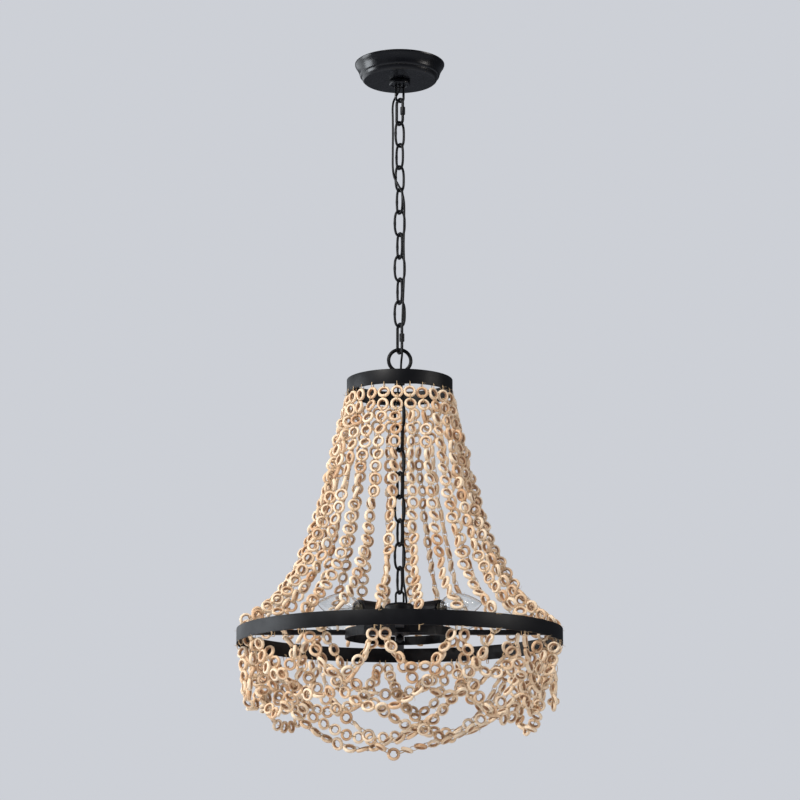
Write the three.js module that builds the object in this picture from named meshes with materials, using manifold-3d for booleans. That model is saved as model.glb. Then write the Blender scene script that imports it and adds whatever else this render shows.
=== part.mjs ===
// Beaded chandelier: a ceiling canopy, a chain of oval links, two black ring bands joined by
// strands of wood rings, and swags of wood rings below. Millimetres, +Z up. The origin is the
// centre of the ceiling bracket's top face, which lies against the ceiling.
import * as THREE from "three";
import { mergeVertices } from "three/addons/utils/BufferGeometryUtils.js";
import Module from "manifold-3d";

const wasm = await Module();
wasm.setup();

// Clearances and fine sizes that several pieces share
const clearance = 0.3; // between pieces that seat on each other
const runningClearance = 0.3; // radial, round anything that turns or slides
const overrun = 1; // how far a cutter passes the face it cuts

// Ceiling bracket, its screws and the nipple
const bracketLength = 100;
const bracketWidth = 22;
const bracketThickness = 3;
const bracketBossRadius = 9;
const bracketBossDepth = 7;
const screwSpacingShare = 0.7; // of the bracket's length
const screwRadius = 2.2;
const screwHeadRadius = 4.4;
const screwHeadHeight = 2.6;
const nippleRadius = 4.8;
const nippleBoreRadius = 3;

// Canopy
const canopyRadius = 63.5;
const canopyStepRadius = 57;
const canopyFaceRadius = 47;
const canopyRimHeight = 3;
const canopyStepDepth = 12;
const canopyDepth = 25;
const canopyWall = 1.2;
const canopyHoleRadius = 12.5;

// Collar and canopy loop
const collarRadius = 14.8;
const collarHeight = 6;
const loopBossRadius = 11.2;
const loopBossHeight = 10;
const loopBossBelow = 5.4;
const canopyLoopWire = 3.5;
const canopyLoopWidth = 15;
const canopyLoopDrop = 32.6;
const canopyLoopYaw = 20;

// Chain: round wire ovals, each hanging in the one above
const chainWire = 3;
const chainLinkWidth = 17;
const chainLinkLength = 39.4;
const chainPlay = 0.7; // between one link and the next
const chainRoundnessShare = 0.74; // 1 is a true ellipse, less is fuller at the corners
const chainYaws = [34, -50, 36, -56, 12, -62, 8, -64, 8];
const innerChainYaws = [20, -64, 20, -64, 20, -64, 20, -64];

// Quick links, one at each end of the chain
const quickWire = 4;
const quickWidth = 17;
const upperQuickLength = 42;
const lowerQuickLength = 45.6;
const upperQuickYaw = -49;
const lowerQuickYaw = -62;
const gateGap = 5;
const sleeveRadius = 3.5;
const sleeveLength = 11;

// Top loop, its neck and the crossbar
const topLoopDiameter = 36;
const topLoopWire = 5;
const topLoopYaw = 8;
const neckRadius = 4;
const neckLength = 10;
const crossbarWidth = 14;
const crossbarThickness = 3;
const eyeWire = 3;
const eyeWidth = 14;
const eyeYaw = -64;

// Ring bands
const topRingDiameter = 146;
const topRingHeight = 20;
const bandThickness = 2;
const outerRingDiameter = 440;
const outerRingHeight = 20;
const innerRingDiameter = 148;
const innerRingHeight = 12;

// Hub, spokes and finial
const hubRadius = 20.5;
const hubHeight = 27;
const hubStemRadius = 8;
const hubLoopWire = 3;
const hubLoopWidth = 13.6;
const hubLoopHeight = 19;
const spokeWidth = 12;
const spokeHeight = 6;
const spokeHubRadius = 16;
const finialRadius = 5.5;
const finialShankRadius = 2;
const finialShankLength = 12;

// Lamp sockets and bulbs, lying flat and pointing outwards
const socketCount = 4;
const socketStartAngle = 45;
const socketDrop = 13.4;
const armRadius = 5;
const socketInnerReach = 40;
const socketOuterReach = 78;
const socketRadius = 12;
const socketBoreDepth = 22;
const bulbBaseRadius = 8.6;
const bulbRadius = 17.5;
const bulbLength = 72;
const bulbNeckLength = 2;

// Wood rings and the thread that ties them
const woodRingDiameter = 17;
const woodRingThickness = 5.5;
const threadThickness = 1.6;
const threadLead = 11; // thread from a tie to the middle of the first ring

// Strands between the two rings
const strandCount = 26;
const strandStartAngle = -7.35;
const strandTwistAngle = 4.4;
const strandRingCount = 20;
const strandGroups = [4, 4, 4, 4, 4, 3, 3];
const ringsDistance = 325.6; // from the top ring's lower edge to the outer ring's upper edge

// How far out a strand stands at shares of the way down, as shares of the way from ring to ring
const flareShares = [
  [0, 0], [0.11, 0.05], [0.24, 0.108], [0.368, 0.173], [0.497, 0.255], [0.623, 0.347],
  [0.749, 0.468], [0.85, 0.61], [0.9, 0.722], [0.948, 0.848], [1, 1],
];

// Swags below the outer ring: spans are counted in ties, shares are of the row's deepest sag
const tieCount = 13;
const tieThread = 6; // thread that lies along the band's underside at a tie
const ringPitch = 17.9;
const swagLead = 9.8; // thread from a swag's end to the middle of its first ring
const outerSwagSag = 80;
const outerSwagShares = [0.64, 0.7, 0.86, 1, 0.92, 0.84, 0.9, 0.86, 0.94, 1, 0.9, 0.68, 0.7];
const outerSwagInset = 7; // how far inside the band's middle the outer swags hang
const outerSwagSpread = 10; // between the starts of two swags that share a tie
const innerSwagSag = 92;
const innerSwagShares = [0.76, 1.06, 0.89, 1.07, 0.74, 1, 0.41, 0.7, 1, 0.82, 0.94, 0.76, 0.97];
const innerSwagSpan = 2;
const innerFootInset = 17; // from the thread on the band's inner face to where it ends
const innerFootDrop = 12; // below the band
const innerFootThread = 12; // thread between the two swags that meet at a hanger
const innerFlatRingCount = 3;
const basketSag = 172;
const basketSagShares = [0.93, 0.91, 0.83, 0.76];
const basketStarts = [10.21, 11.51, 12.17, 5.47];
const basketSpans = [4.41, 4.2, 4.46, 4.04];
const basketLift = 7; // how far rows that cross are bent up or down past each other
const basketLiftReach = 24;
const basketLiftShares = [ // of the half span from a row's middle, and of the lift
  [[0.17, 0.9], [0.36, -0.1]], [[-0.17, -1.9]], [[-0.36, 0.2], [-0.17, 0.8]], [],
];
const basketFootInset = 9;
const basketFootLift = 13; // above the band's underside
const hangerDrop = 4;
const hangerHeight = 3;

// Power cord
const cordDiameter = 3;
const cordSides = 8;
const cordSteps = 72;

// Facets
const roundSides = 16;
const canopySides = 28;
const smallSides = 12;
const bandSides = 60;
const innerBandSides = 36;
const wireSides = 6;
const bowSteps = 5;
const linkSteps = 12;
const circle = 360;

const black = new THREE.MeshStandardMaterial({ color: 0x1c1d20, roughness: 0.55, metalness: 0.6 });
const satin = new THREE.MeshStandardMaterial({ color: 0x26272b, roughness: 0.35, metalness: 0.7 });
const wood = new THREE.MeshStandardMaterial({ color: 0xd8b48a, roughness: 0.7, metalness: 0 });
const glass = new THREE.MeshStandardMaterial({ color: 0xeef2f4, roughness: 0.05, metalness: 0 });
const zinc = new THREE.MeshStandardMaterial({ color: 0x9a9da0, roughness: 0.4, metalness: 0.9 });
const cable = new THREE.MeshStandardMaterial({ color: 0x141416, roughness: 0.6, metalness: 0 });

const chandelier = new THREE.Group();

// Angles run from the front (-Y) towards +X
const rad = THREE.MathUtils.degToRad;
const outward = (degrees) => new THREE.Vector3(Math.sin(rad(degrees)), -Math.cos(rad(degrees)), 0);
const sideways = (degrees) => new THREE.Vector3(Math.cos(rad(degrees)), Math.sin(rad(degrees)), 0);
const up = new THREE.Vector3(0, 0, 1);
const onRing = (radius, degrees, z) => outward(degrees).multiplyScalar(radius).setZ(z);

function facesOut(geometry) {
  const p = geometry.attributes.position;
  const index = geometry.index;
  const [a, b, c] = [new THREE.Vector3(), new THREE.Vector3(), new THREE.Vector3()];
  let volume = 0;
  for (let i = 0; i < index.count; i += 3) {
    a.fromBufferAttribute(p, index.getX(i));
    b.fromBufferAttribute(p, index.getX(i + 1));
    c.fromBufferAttribute(p, index.getX(i + 2));
    volume += a.dot(b.cross(c));
  }
  if (volume < 0) {
    for (let i = 0; i < index.count; i += 3) {
      const first = index.getX(i);
      index.setX(i, index.getX(i + 1));
      index.setX(i + 1, first);
    }
  }
  return geometry;
}

function plain(geometry) {
  geometry.deleteAttribute("normal");
  geometry.deleteAttribute("uv");
  return facesOut(mergeVertices(geometry));
}

// A skin over cross sections with the same number of corners each
function skin(sections, closed) {
  const sides = sections[0].length;
  const vertices = sections.flat().flatMap((v) => [v.x, v.y, v.z]);
  const index = [];
  const last = closed ? sections.length : sections.length - 1;
  for (let i = 0; i < last; i++) {
    const here = i * sides;
    const next = ((i + 1) % sections.length) * sides;
    for (let j = 0; j < sides; j++) {
      const k = (j + 1) % sides;
      index.push(here + j, here + k, next + j, here + k, next + k, next + j);
    }
  }
  if (!closed) {
    const end = (sections.length - 1) * sides;
    for (let j = 1; j < sides - 1; j++) {
      index.push(0, j + 1, j, end, end + j, end + j + 1);
    }
  }
  const geometry = new THREE.BufferGeometry();
  geometry.setAttribute("position", new THREE.Float32BufferAttribute(vertices, 3));
  geometry.setIndex(index);
  return facesOut(geometry);
}

// A turned piece: profile points are [radius, height]
function turned(profile, sides = roundSides) {
  const points = profile.map(([r, z]) => new THREE.Vector2(r, z));
  return plain(new THREE.LatheGeometry(points, sides).rotateX(Math.PI / 2));
}

function box(width, depth, height) {
  return plain(new THREE.BoxGeometry(width, depth, height));
}

function toSolid(geometry) {
  const vertProperties = new Float32Array(geometry.attributes.position.array);
  const triVerts = new Uint32Array(geometry.index.array);
  return new wasm.Manifold(new wasm.Mesh({ numProp: 3, vertProperties, triVerts }));
}

function fromSolid(solid) {
  const mesh = solid.getMesh();
  const geometry = new THREE.BufferGeometry();
  geometry.setAttribute("position", new THREE.Float32BufferAttribute(mesh.vertProperties, 3));
  geometry.setIndex([...mesh.triVerts]);
  return geometry;
}

const join = (...parts) => fromSolid(parts.map(toSolid).reduce((a, b) => a.add(b)));
const cut = (body, ...tools) => fromSolid(tools.map(toSolid).reduce((a, b) => a.subtract(b), toSolid(body)));

function place(name, geometry, material, z = 0, yaw = 0) {
  const mesh = new THREE.Mesh(geometry, material);
  mesh.name = name;
  mesh.position.z = z;
  mesh.rotation.z = rad(yaw);
  chandelier.add(mesh);
  return mesh;
}

function wireSection(centre, across, along, wire) {
  const corners = [];
  for (let j = 0; j < wireSides; j++) {
    const turn = (j + 0.5) * (2 * Math.PI / wireSides);
    const corner = centre.clone();
    corner.addScaledVector(across, Math.cos(turn) * wire / 2);
    corner.addScaledVector(along, Math.sin(turn) * wire / 2);
    corners.push(corner);
  }
  return corners;
}

// An oval of round wire in the XZ plane, with the top wire's middle at z = 0. A gap, if there
// is one, opens the middle of its +X leg.
function oval(width, length, wire, gap = 0) {
  const bend = (width - wire) / 2;
  const low = -(length - wire) + bend;
  const sections = [];
  const bow = (middle, start) => {
    for (let i = 0; i <= bowSteps; i++) {
      const turn = start + (i / bowSteps) * Math.PI;
      const across = new THREE.Vector3(Math.cos(turn), 0, Math.sin(turn));
      const centre = across.clone().multiplyScalar(bend).setZ(middle + across.z * bend);
      sections.push(wireSection(centre, across, new THREE.Vector3(0, 1, 0), wire));
    }
  };
  const level = (z) => {
    const across = new THREE.Vector3(1, 0, 0);
    sections.push(wireSection(new THREE.Vector3(bend, 0, z), across, new THREE.Vector3(0, 1, 0), wire));
  };
  const middle = (low - bend) / 2;
  if (gap) level(middle + gap / 2);
  bow(-bend, 0);
  bow(low, Math.PI);
  if (gap) level(middle - gap / 2);
  return skin(sections, !gap);
}

// A closed loop of round wire that is nearly an ellipse, placed as the oval is
function ellipse(width, length, wire, roundness) {
  const [halfWidth, halfLength] = [(width - wire) / 2, (length - wire) / 2];
  const soften = (value, power) => Math.sign(value) * Math.abs(value) ** power;
  const sections = [];
  for (let i = 0; i < linkSteps; i++) {
    const turn = (i / linkSteps) * 2 * Math.PI;
    const [x, z] = [soften(Math.cos(turn), roundness), soften(Math.sin(turn), roundness)];
    const steep = 2 / roundness - 1;
    const across = new THREE.Vector3(soften(x, steep) / halfWidth, 0, soften(z, steep) / halfLength).normalize();
    const centre = new THREE.Vector3(x * halfWidth, 0, z * halfLength - halfLength);
    sections.push(wireSection(centre, across, new THREE.Vector3(0, 1, 0), wire));
  }
  return skin(sections, true);
}

// A U of round wire that opens upwards: its legs reach z = 0 and its bow hangs below
function staple(width, drop, wire) {
  const bend = (width - wire) / 2;
  const low = wire / 2 + bend - drop;
  const sections = [];
  const along = new THREE.Vector3(0, 1, 0);
  const across = new THREE.Vector3(1, 0, 0);
  sections.push(wireSection(new THREE.Vector3(bend, 0, 0), across, along, wire));
  for (let i = 0; i <= bowSteps; i++) {
    const turn = -(i / bowSteps) * Math.PI;
    const spoke = new THREE.Vector3(Math.cos(turn), 0, Math.sin(turn));
    const centre = spoke.clone().multiplyScalar(bend).setZ(low + spoke.z * bend);
    sections.push(wireSection(centre, spoke, along, wire));
  }
  sections.push(wireSection(new THREE.Vector3(-bend, 0, 0), across.clone().negate(), along, wire));
  return skin(sections, false);
}

// Heights, from the ceiling down
const bossBottom = -(bracketThickness + bracketBossDepth);
const collarTop = -canopyDepth - clearance;
const loopBossTop = -canopyDepth - loopBossBelow + loopBossHeight;
const loopBossBottom = loopBossTop - loopBossHeight;
const canopyLoopBottom = -canopyDepth - canopyLoopDrop + canopyLoopWire / 2;

// Middle of the top wire of a link that hangs in a wire whose middle is at z
const hangIn = (z, wireAbove, wireBelow) => z + (wireAbove + wireBelow) / 2 + clearance;
const bottomOf = (top, length, wire) => top - (length - wire);

const upperQuickTop = hangIn(canopyLoopBottom, canopyLoopWire, quickWire);
const upperQuickBottom = bottomOf(upperQuickTop, upperQuickLength, quickWire);
const chainTop = hangIn(upperQuickBottom, quickWire, chainWire);
const chainPitch = chainLinkLength - 2 * chainWire - chainPlay;
const chainBottom = bottomOf(chainTop - (chainYaws.length - 1) * chainPitch, chainLinkLength, chainWire);
const lowerQuickTop = hangIn(chainBottom, chainWire, quickWire);
const lowerQuickBottom = bottomOf(lowerQuickTop, lowerQuickLength, quickWire);
const topLoopTop = hangIn(lowerQuickBottom, quickWire, topLoopWire);
const topLoopMiddle = topLoopTop - (topLoopDiameter - topLoopWire) / 2;
const topRingTop = topLoopMiddle - topLoopDiameter / 2 - neckLength;
const topRingBottom = topRingTop - topRingHeight;
const outerRingTop = topRingBottom - ringsDistance;
const outerRingBottom = outerRingTop - outerRingHeight;
const spokeTop = outerRingTop - clearance;
const hubBottom = spokeTop + clearance;
const hubTop = hubBottom + hubHeight + hubStemRadius + clearance;
const hubLoopTop = hubTop + hubLoopHeight - hubLoopWire / 2;
const innerChainBottom = hubLoopTop - hubLoopWire / 2 - chainWire / 2 - clearance;
const innerChainReach = (innerChainYaws.length - 1) * chainPitch + chainLinkLength - chainWire;
const innerChainTop = innerChainBottom + innerChainReach;
const eyeBottom = innerChainTop - eyeWire / 2 - chainWire / 2 - clearance;

// Ceiling bracket: a flat bar with a blind boss that takes the nipple
const bar = box(bracketLength, bracketWidth, bracketThickness).translate(0, 0, -bracketThickness / 2);
const boss = turned([
  [0, -bracketThickness + overrun], [bracketBossRadius, -bracketThickness + overrun],
  [bracketBossRadius, bossBottom], [0, bossBottom],
]);
const nippleHole = turned([
  [0, -bracketThickness], [nippleRadius + clearance, -bracketThickness],
  [nippleRadius + clearance, bossBottom - overrun], [0, bossBottom - overrun],
]);
const screwHole = turned([
  [0, overrun], [screwRadius + clearance, overrun],
  [screwRadius + clearance, -bracketThickness - overrun], [0, -bracketThickness - overrun],
]);
const screwSpacing = bracketLength * screwSpacingShare;
const screwPlaces = [-1, 1].map((side) => side * screwSpacing / 2);
const screwHoles = screwPlaces.map((x) => screwHole.clone().translate(x, 0, 0));
place("ceiling_bracket", cut(join(bar, boss), nippleHole, ...screwHoles), zinc);

// Screws that hold the bracket to the ceiling box
const headTop = -bracketThickness - clearance;
screwPlaces.forEach((x, i) => {
  const screw = turned([
    [0, 0], [screwRadius, 0], [screwRadius, headTop], [screwHeadRadius, headTop],
    [screwHeadRadius * 0.8, headTop - screwHeadHeight], [0, headTop - screwHeadHeight],
  ], smallSides);
  place(`bracket_screw_${i + 1}`, screw, zinc).position.x = x;
});

// Hollow nipple from the bracket's boss down into the canopy loop
const nippleTop = -bracketThickness - clearance;
const nippleBottom = loopBossBottom + 2 * clearance + canopyWall * 2;
place("threaded_nipple", turned([
  [nippleBoreRadius, nippleTop], [nippleRadius, nippleTop],
  [nippleRadius, nippleBottom], [nippleBoreRadius, nippleBottom], [nippleBoreRadius, nippleTop],
]), zinc);

// Canopy: a spun shell with two rounded steps, its wall the same all over
const arcSteps = 2;
function quarter(r, z, deltaR, deltaZ) {
  const points = [];
  for (let i = 0; i <= arcSteps; i++) {
    const turn = (i / arcSteps) * Math.PI / 2;
    points.push([r - deltaR * (1 - Math.cos(turn)), z - deltaZ * Math.sin(turn)]);
  }
  return points;
}
function canopyProfile(inset) {
  const stepR = canopyRadius - canopyStepRadius;
  const faceR = canopyStepRadius - canopyFaceRadius;
  return [
    [canopyRadius - inset, -clearance],
    ...quarter(canopyRadius - inset, -canopyRimHeight, stepR, canopyStepDepth - canopyRimHeight - inset),
    ...quarter(canopyStepRadius - inset, -canopyStepDepth + inset, faceR, canopyDepth - canopyStepDepth),
  ].map(([r, z]) => [r, Math.max(z, -canopyDepth + inset)]);
}
const canopyOutside = [...canopyProfile(0), [canopyHoleRadius, -canopyDepth]];
const canopyInside = [...canopyProfile(canopyWall), [canopyHoleRadius, -canopyDepth + canopyWall]];
const canopyShell = [...canopyOutside, ...canopyInside.reverse(), canopyOutside[0]];
place("canopy", turned(canopyShell, canopySides), satin);

// Collar that screws up the loop's boss and holds the canopy
const collarBore = loopBossRadius + runningClearance;
const collarEdge = 1.2;
place("collar_nut", turned([
  [collarBore, collarTop], [collarRadius - collarEdge, collarTop], [collarRadius, collarTop - collarEdge],
  [collarRadius, collarTop - collarHeight + collarEdge], [collarRadius - collarEdge, collarTop - collarHeight],
  [collarBore, collarTop - collarHeight], [collarBore, collarTop],
]), satin);

// Canopy loop: a boss with a wire way through it and a U of wire below
const wireWay = nippleBoreRadius;
const loopBoss = turned([
  [wireWay, loopBossBottom], [loopBossRadius, loopBossBottom], [loopBossRadius, loopBossTop],
  [nippleRadius + clearance, loopBossTop], [nippleRadius + clearance, nippleBottom - clearance],
  [wireWay, nippleBottom - clearance], [wireWay, loopBossBottom],
]);
const loopDrop = loopBossBottom + overrun - (canopyLoopBottom - canopyLoopWire / 2);
const loopStaple = staple(canopyLoopWidth, loopDrop, canopyLoopWire)
  .rotateZ(rad(canopyLoopYaw)).translate(0, 0, loopBossBottom + overrun);
place("canopy_loop", join(loopBoss, loopStaple), satin);

// Quick links: an oval with a gate gap, and the sleeve that screws across the gap
function quickLink(name, length, top, yaw) {
  place(`${name}_quick_link`, oval(quickWidth, length, quickWire, gateGap), black, top, yaw);
  const bore = quickWire / 2 + runningClearance;
  const half = sleeveLength / 2;
  const sleeve = turned([
    [bore, -half], [sleeveRadius, -half], [sleeveRadius, half], [bore, half], [bore, -half],
  ], smallSides).translate((quickWidth - quickWire) / 2, 0, -(length - quickWire) / 2);
  place(`${name}_link_sleeve`, sleeve, black, top, yaw);
}
quickLink("upper", upperQuickLength, upperQuickTop, upperQuickYaw);

// Chain from quick link to quick link
const chainLink = ellipse(chainLinkWidth, chainLinkLength, chainWire, chainRoundnessShare);
chainYaws.forEach((yaw, i) => {
  place(`chain_link_${i + 1}`, chainLink.clone(), black, chainTop - i * chainPitch, yaw);
});
quickLink("lower", lowerQuickLength, lowerQuickTop, lowerQuickYaw);

// Top loop: a ring of thick wire on a short neck
const loopSteps = 18;
const loopSections = [];
for (let i = 0; i < loopSteps; i++) {
  const turn = (i / loopSteps) * 2 * Math.PI;
  const spoke = new THREE.Vector3(Math.cos(turn), 0, Math.sin(turn));
  const centre = spoke.clone().multiplyScalar((topLoopDiameter - topLoopWire) / 2);
  loopSections.push(wireSection(centre, spoke, new THREE.Vector3(0, 1, 0), topLoopWire));
}
const loopRing = skin(loopSections, true).rotateZ(rad(topLoopYaw)).translate(0, 0, topLoopMiddle);
const neckTop = topRingTop + neckLength + topLoopWire / 2;
const shankRadius = neckRadius * 0.6;
const shankBottom = topRingTop - crossbarThickness;
const neck = turned([
  [0, neckTop], [neckRadius * 0.8, neckTop], [neckRadius, topRingTop + neckLength / 2],
  [neckRadius * 1.6, topRingTop + clearance], [shankRadius, topRingTop + clearance],
  [shankRadius, shankBottom], [0, shankBottom],
], smallSides);
place("top_loop", join(loopRing, neck), black);

// A flat band bent into a ring
function band(diameter, height, top, sides = bandSides) {
  const outside = diameter / 2;
  const inside = outside - bandThickness;
  return turned([
    [inside, top - height], [outside, top - height], [outside, top], [inside, top],
    [inside, top - height],
  ], sides);
}
place("top_ring", band(topRingDiameter, topRingHeight, topRingTop), black);

// Crossbar inside the top ring's upper edge, with a hole for the loop's shank
const crossbarLength = topRingDiameter - 2 * bandThickness - 2 * clearance;
const crossbarBlank = box(crossbarLength, crossbarWidth, crossbarThickness)
  .translate(0, 0, topRingTop - crossbarThickness / 2);
const ringRoom = turned([
  [0, topRingTop + overrun], [crossbarLength / 2, topRingTop + overrun],
  [crossbarLength / 2, topRingTop - crossbarThickness - overrun],
  [0, topRingTop - crossbarThickness - overrun],
], bandSides);
const shankHole = turned([
  [0, topRingTop + overrun], [shankRadius + clearance, topRingTop + overrun],
  [shankRadius + clearance, topRingTop - crossbarThickness - overrun],
  [0, topRingTop - crossbarThickness - overrun],
], smallSides);
const crossbarRound = fromSolid(toSolid(crossbarBlank).intersect(toSolid(ringRoom)));
place("top_crossbar", cut(crossbarRound, shankHole), black);

// Eye under the crossbar, which carries the inner chain
const eyeTop = topRingTop - crossbarThickness - clearance;
const eyePadRadius = eyeWidth / 2;
const eyePadHeight = 3;
const eyePad = turned([
  [0, eyeTop], [eyePadRadius, eyeTop], [eyePadRadius, eyeTop - eyePadHeight], [0, eyeTop - eyePadHeight],
], 16);
const eyeFoot = eyeTop - eyePadHeight + overrun;
const eyeStaple = staple(eyeWidth, eyeFoot - eyeBottom + eyeWire / 2, eyeWire)
  .rotateZ(rad(eyeYaw)).translate(0, 0, eyeFoot);
place("chain_eye", join(eyePad, eyeStaple), black);

innerChainYaws.forEach((yaw, i) => {
  place(`inner_link_${i + 1}`, chainLink.clone(), black, innerChainTop - i * chainPitch, yaw);
});

// Loop on the hub: a staple turned upside down
const hubLoopReach = hubLoopHeight - clearance;
const hubLoop = staple(hubLoopWidth, hubLoopReach, hubLoopWire).rotateX(Math.PI);
place("hub_loop", hubLoop, black, hubTop + clearance);

// Hub: a turned cup on a stem, with a way in for the cord and a blind hole for the finial
const stemTop = hubBottom + hubStemRadius;
const hubEdge = 3;
const hubBody = turned([
  [0, hubTop], [hubRadius - hubEdge, hubTop], [hubRadius, hubTop - hubEdge],
  [hubRadius, stemTop + hubEdge], [hubRadius - hubEdge, stemTop], [hubStemRadius, stemTop],
  [hubStemRadius, hubBottom], [0, hubBottom],
]);
const cordEntryDepth = 6;
const cordEntry = turned([
  [0, hubTop + overrun], [cordDiameter / 2 + 2 * clearance, hubTop + overrun],
  [cordDiameter / 2 + 2 * clearance, hubTop - cordEntryDepth], [0, hubTop - cordEntryDepth],
], smallSides).translate(hubRadius * 0.45, hubRadius * 0.3, 0);
const finialHoleTop = spokeTop - spokeHeight - clearance + finialShankLength + clearance;
const finialHole = turned([
  [0, finialHoleTop], [finialShankRadius + runningClearance, finialHoleTop],
  [finialShankRadius + runningClearance, hubBottom - overrun], [0, hubBottom - overrun],
], smallSides);
place("hub", cut(hubBody, cordEntry, finialHole), black);

// Crossed flat bars from the hub out to the outer ring
const spokeReach = outerRingDiameter / 2 - bandThickness - clearance;
const spokeRoom = turned([
  [0, spokeTop + overrun], [spokeReach, spokeTop + overrun],
  [spokeReach, spokeTop - spokeHeight - overrun], [0, spokeTop - spokeHeight - overrun],
], bandSides);
const spokeMiddle = spokeTop - spokeHeight / 2;
const spokeBars = [
  box(2 * spokeReach, spokeWidth, spokeHeight), box(spokeWidth, 2 * spokeReach, spokeHeight),
].map((g) => g.translate(0, 0, spokeMiddle));
const spokeDisc = turned([
  [0, spokeTop], [spokeHubRadius, spokeTop], [spokeHubRadius, spokeTop - spokeHeight],
  [0, spokeTop - spokeHeight],
]);
const spokeHole = turned([
  [0, spokeTop + overrun], [finialShankRadius + runningClearance, spokeTop + overrun],
  [finialShankRadius + runningClearance, spokeTop - spokeHeight - overrun],
  [0, spokeTop - spokeHeight - overrun],
], smallSides);
const spokesWhole = fromSolid(toSolid(join(...spokeBars, spokeDisc)).intersect(toSolid(spokeRoom)));
place("spokes", cut(spokesWhole, spokeHole), black);

// Inner ring, notched where the spokes pass through it
const notches = [
  box(innerRingDiameter + overrun, spokeWidth + 2 * clearance, spokeHeight + 2 * clearance),
  box(spokeWidth + 2 * clearance, innerRingDiameter + overrun, spokeHeight + 2 * clearance),
].map((g) => g.translate(0, 0, spokeMiddle + clearance));
place("inner_ring", cut(band(innerRingDiameter, innerRingHeight, outerRingTop, innerBandSides), ...notches), black);
place("outer_ring", band(outerRingDiameter, outerRingHeight, outerRingTop), black);

// Finial: a ball on a shank that screws up through the spokes
const ballTop = spokeTop - spokeHeight - clearance;
const ballSteps = 5;
const ballTurn = Math.PI * 0.85; // from its lowest point up to the neck
const ballMiddle = ballTop + finialRadius * Math.cos(ballTurn);
const ball = [];
for (let i = 0; i <= ballSteps; i++) {
  const turn = (i / ballSteps) * ballTurn;
  ball.push([finialRadius * Math.sin(turn), ballMiddle - finialRadius * Math.cos(turn)]);
}
place("finial", turned([
  ...ball, [finialShankRadius, ballTop], [finialShankRadius, ballTop + finialShankLength],
  [0, ballTop + finialShankLength],
], smallSides), black);

// Sockets lie flat on arms from the hub, with a bulb in each
const socketHeight = hubTop - socketDrop;
for (let i = 0; i < socketCount; i++) {
  const angle = socketStartAngle + i * circle / socketCount;
  const boreEnd = socketOuterReach - socketBoreDepth;
  const boreRadius = bulbBaseRadius + runningClearance;
  const socket = turned([
    [0, hubRadius + clearance], [armRadius, hubRadius + clearance], [armRadius, socketInnerReach],
    [socketRadius * 0.75, socketInnerReach], [socketRadius, socketInnerReach + armRadius],
    [socketRadius, socketOuterReach], [boreRadius, socketOuterReach], [boreRadius, boreEnd], [0, boreEnd],
  ], smallSides);
  const bulbStart = boreEnd + clearance;
  const shoulder = socketOuterReach + bulbNeckLength;
  const belly = shoulder + bulbLength * 0.36;
  const bulb = turned([
    [0, bulbStart], [bulbBaseRadius, bulbStart], [bulbBaseRadius, shoulder],
    [bulbRadius * 0.8, shoulder + bulbLength * 0.16], [bulbRadius, belly],
    [bulbRadius * 0.86, shoulder + bulbLength * 0.58], [bulbRadius * 0.42, shoulder + bulbLength * 0.85],
    [0, shoulder + bulbLength],
  ], smallSides);
  const seats = [[`socket_${i + 1}`, socket, black], [`bulb_${i + 1}`, bulb, glass]];
  for (const [name, geometry, material] of seats) {
    geometry.rotateX(Math.PI / 2).rotateZ(rad(angle));
    place(name, geometry, material, socketHeight);
  }
}

// Wood rings on thread, as a ribbon that is a ring wide and turns a quarter at each ring.
// A station is { at, along, side, wide, thick }.
function ribbon(stations, closed = false) {
  return skin(stations.map(({ at, along, side, wide, thick }) => {
    const other = new THREE.Vector3().crossVectors(along, side).normalize();
    return [[1, 1], [-1, 1], [-1, -1], [1, -1]].map(([a, b]) => at.clone()
      .addScaledVector(side, a * wide / 2).addScaledVector(other, b * thick / 2));
  }), closed);
}

function ringStation(at, along, side, turnedSideways) {
  return turnedSideways
    ? { at, along, side, wide: woodRingDiameter, thick: woodRingThickness }
    : { at, along, side, wide: woodRingThickness, thick: woodRingDiameter };
}

const threadStation = (at, along, side) => ({ at, along, side, wide: threadThickness, thick: threadThickness });

// Strands from the top ring to the outer ring, laced together in groups under the top ring
const topBandMiddle = (topRingDiameter - bandThickness) / 2;
const outerBandMiddle = (outerRingDiameter - bandThickness) / 2;
const strandTopZ = topRingBottom - clearance - threadThickness / 2;
const strandBottomZ = outerRingTop + clearance + threadThickness / 2;

function strandCurve(index) {
  const bottomAngle = strandStartAngle + index * circle / strandCount;
  const points = flareShares.map(([down, out]) => onRing(
    topBandMiddle + out * (outerBandMiddle - topBandMiddle),
    bottomAngle + strandTwistAngle * (1 - down),
    strandTopZ + down * (strandBottomZ - strandTopZ),
  ));
  return new THREE.CatmullRomCurve3(points);
}

function strand(index) {
  const curve = strandCurve(index);
  const angle = strandStartAngle + index * circle / strandCount;
  const side = sideways(angle);
  const length = curve.getLength();
  const first = threadLead / length;
  const stations = [threadStation(curve.getPointAt(0), curve.getTangentAt(0), side)];
  for (let i = 0; i < strandRingCount; i++) {
    const share = first + (i / (strandRingCount - 1)) * (1 - 2 * first);
    const along = curve.getTangentAt(share);
    stations.push(ringStation(curve.getPointAt(share), along, side, (i + index) % 2 === 0));
  }
  stations.push(threadStation(curve.getPointAt(1), curve.getTangentAt(1), side));
  return ribbon(stations);
}

function lacing(fromIndex, toIndex) {
  const stations = [];
  for (let i = fromIndex; i <= toIndex; i++) {
    const angle = strandStartAngle + strandTwistAngle + i * circle / strandCount;
    stations.push(threadStation(onRing(topBandMiddle, angle, strandTopZ), sideways(angle), outward(angle)));
  }
  return ribbon(stations);
}

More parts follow.
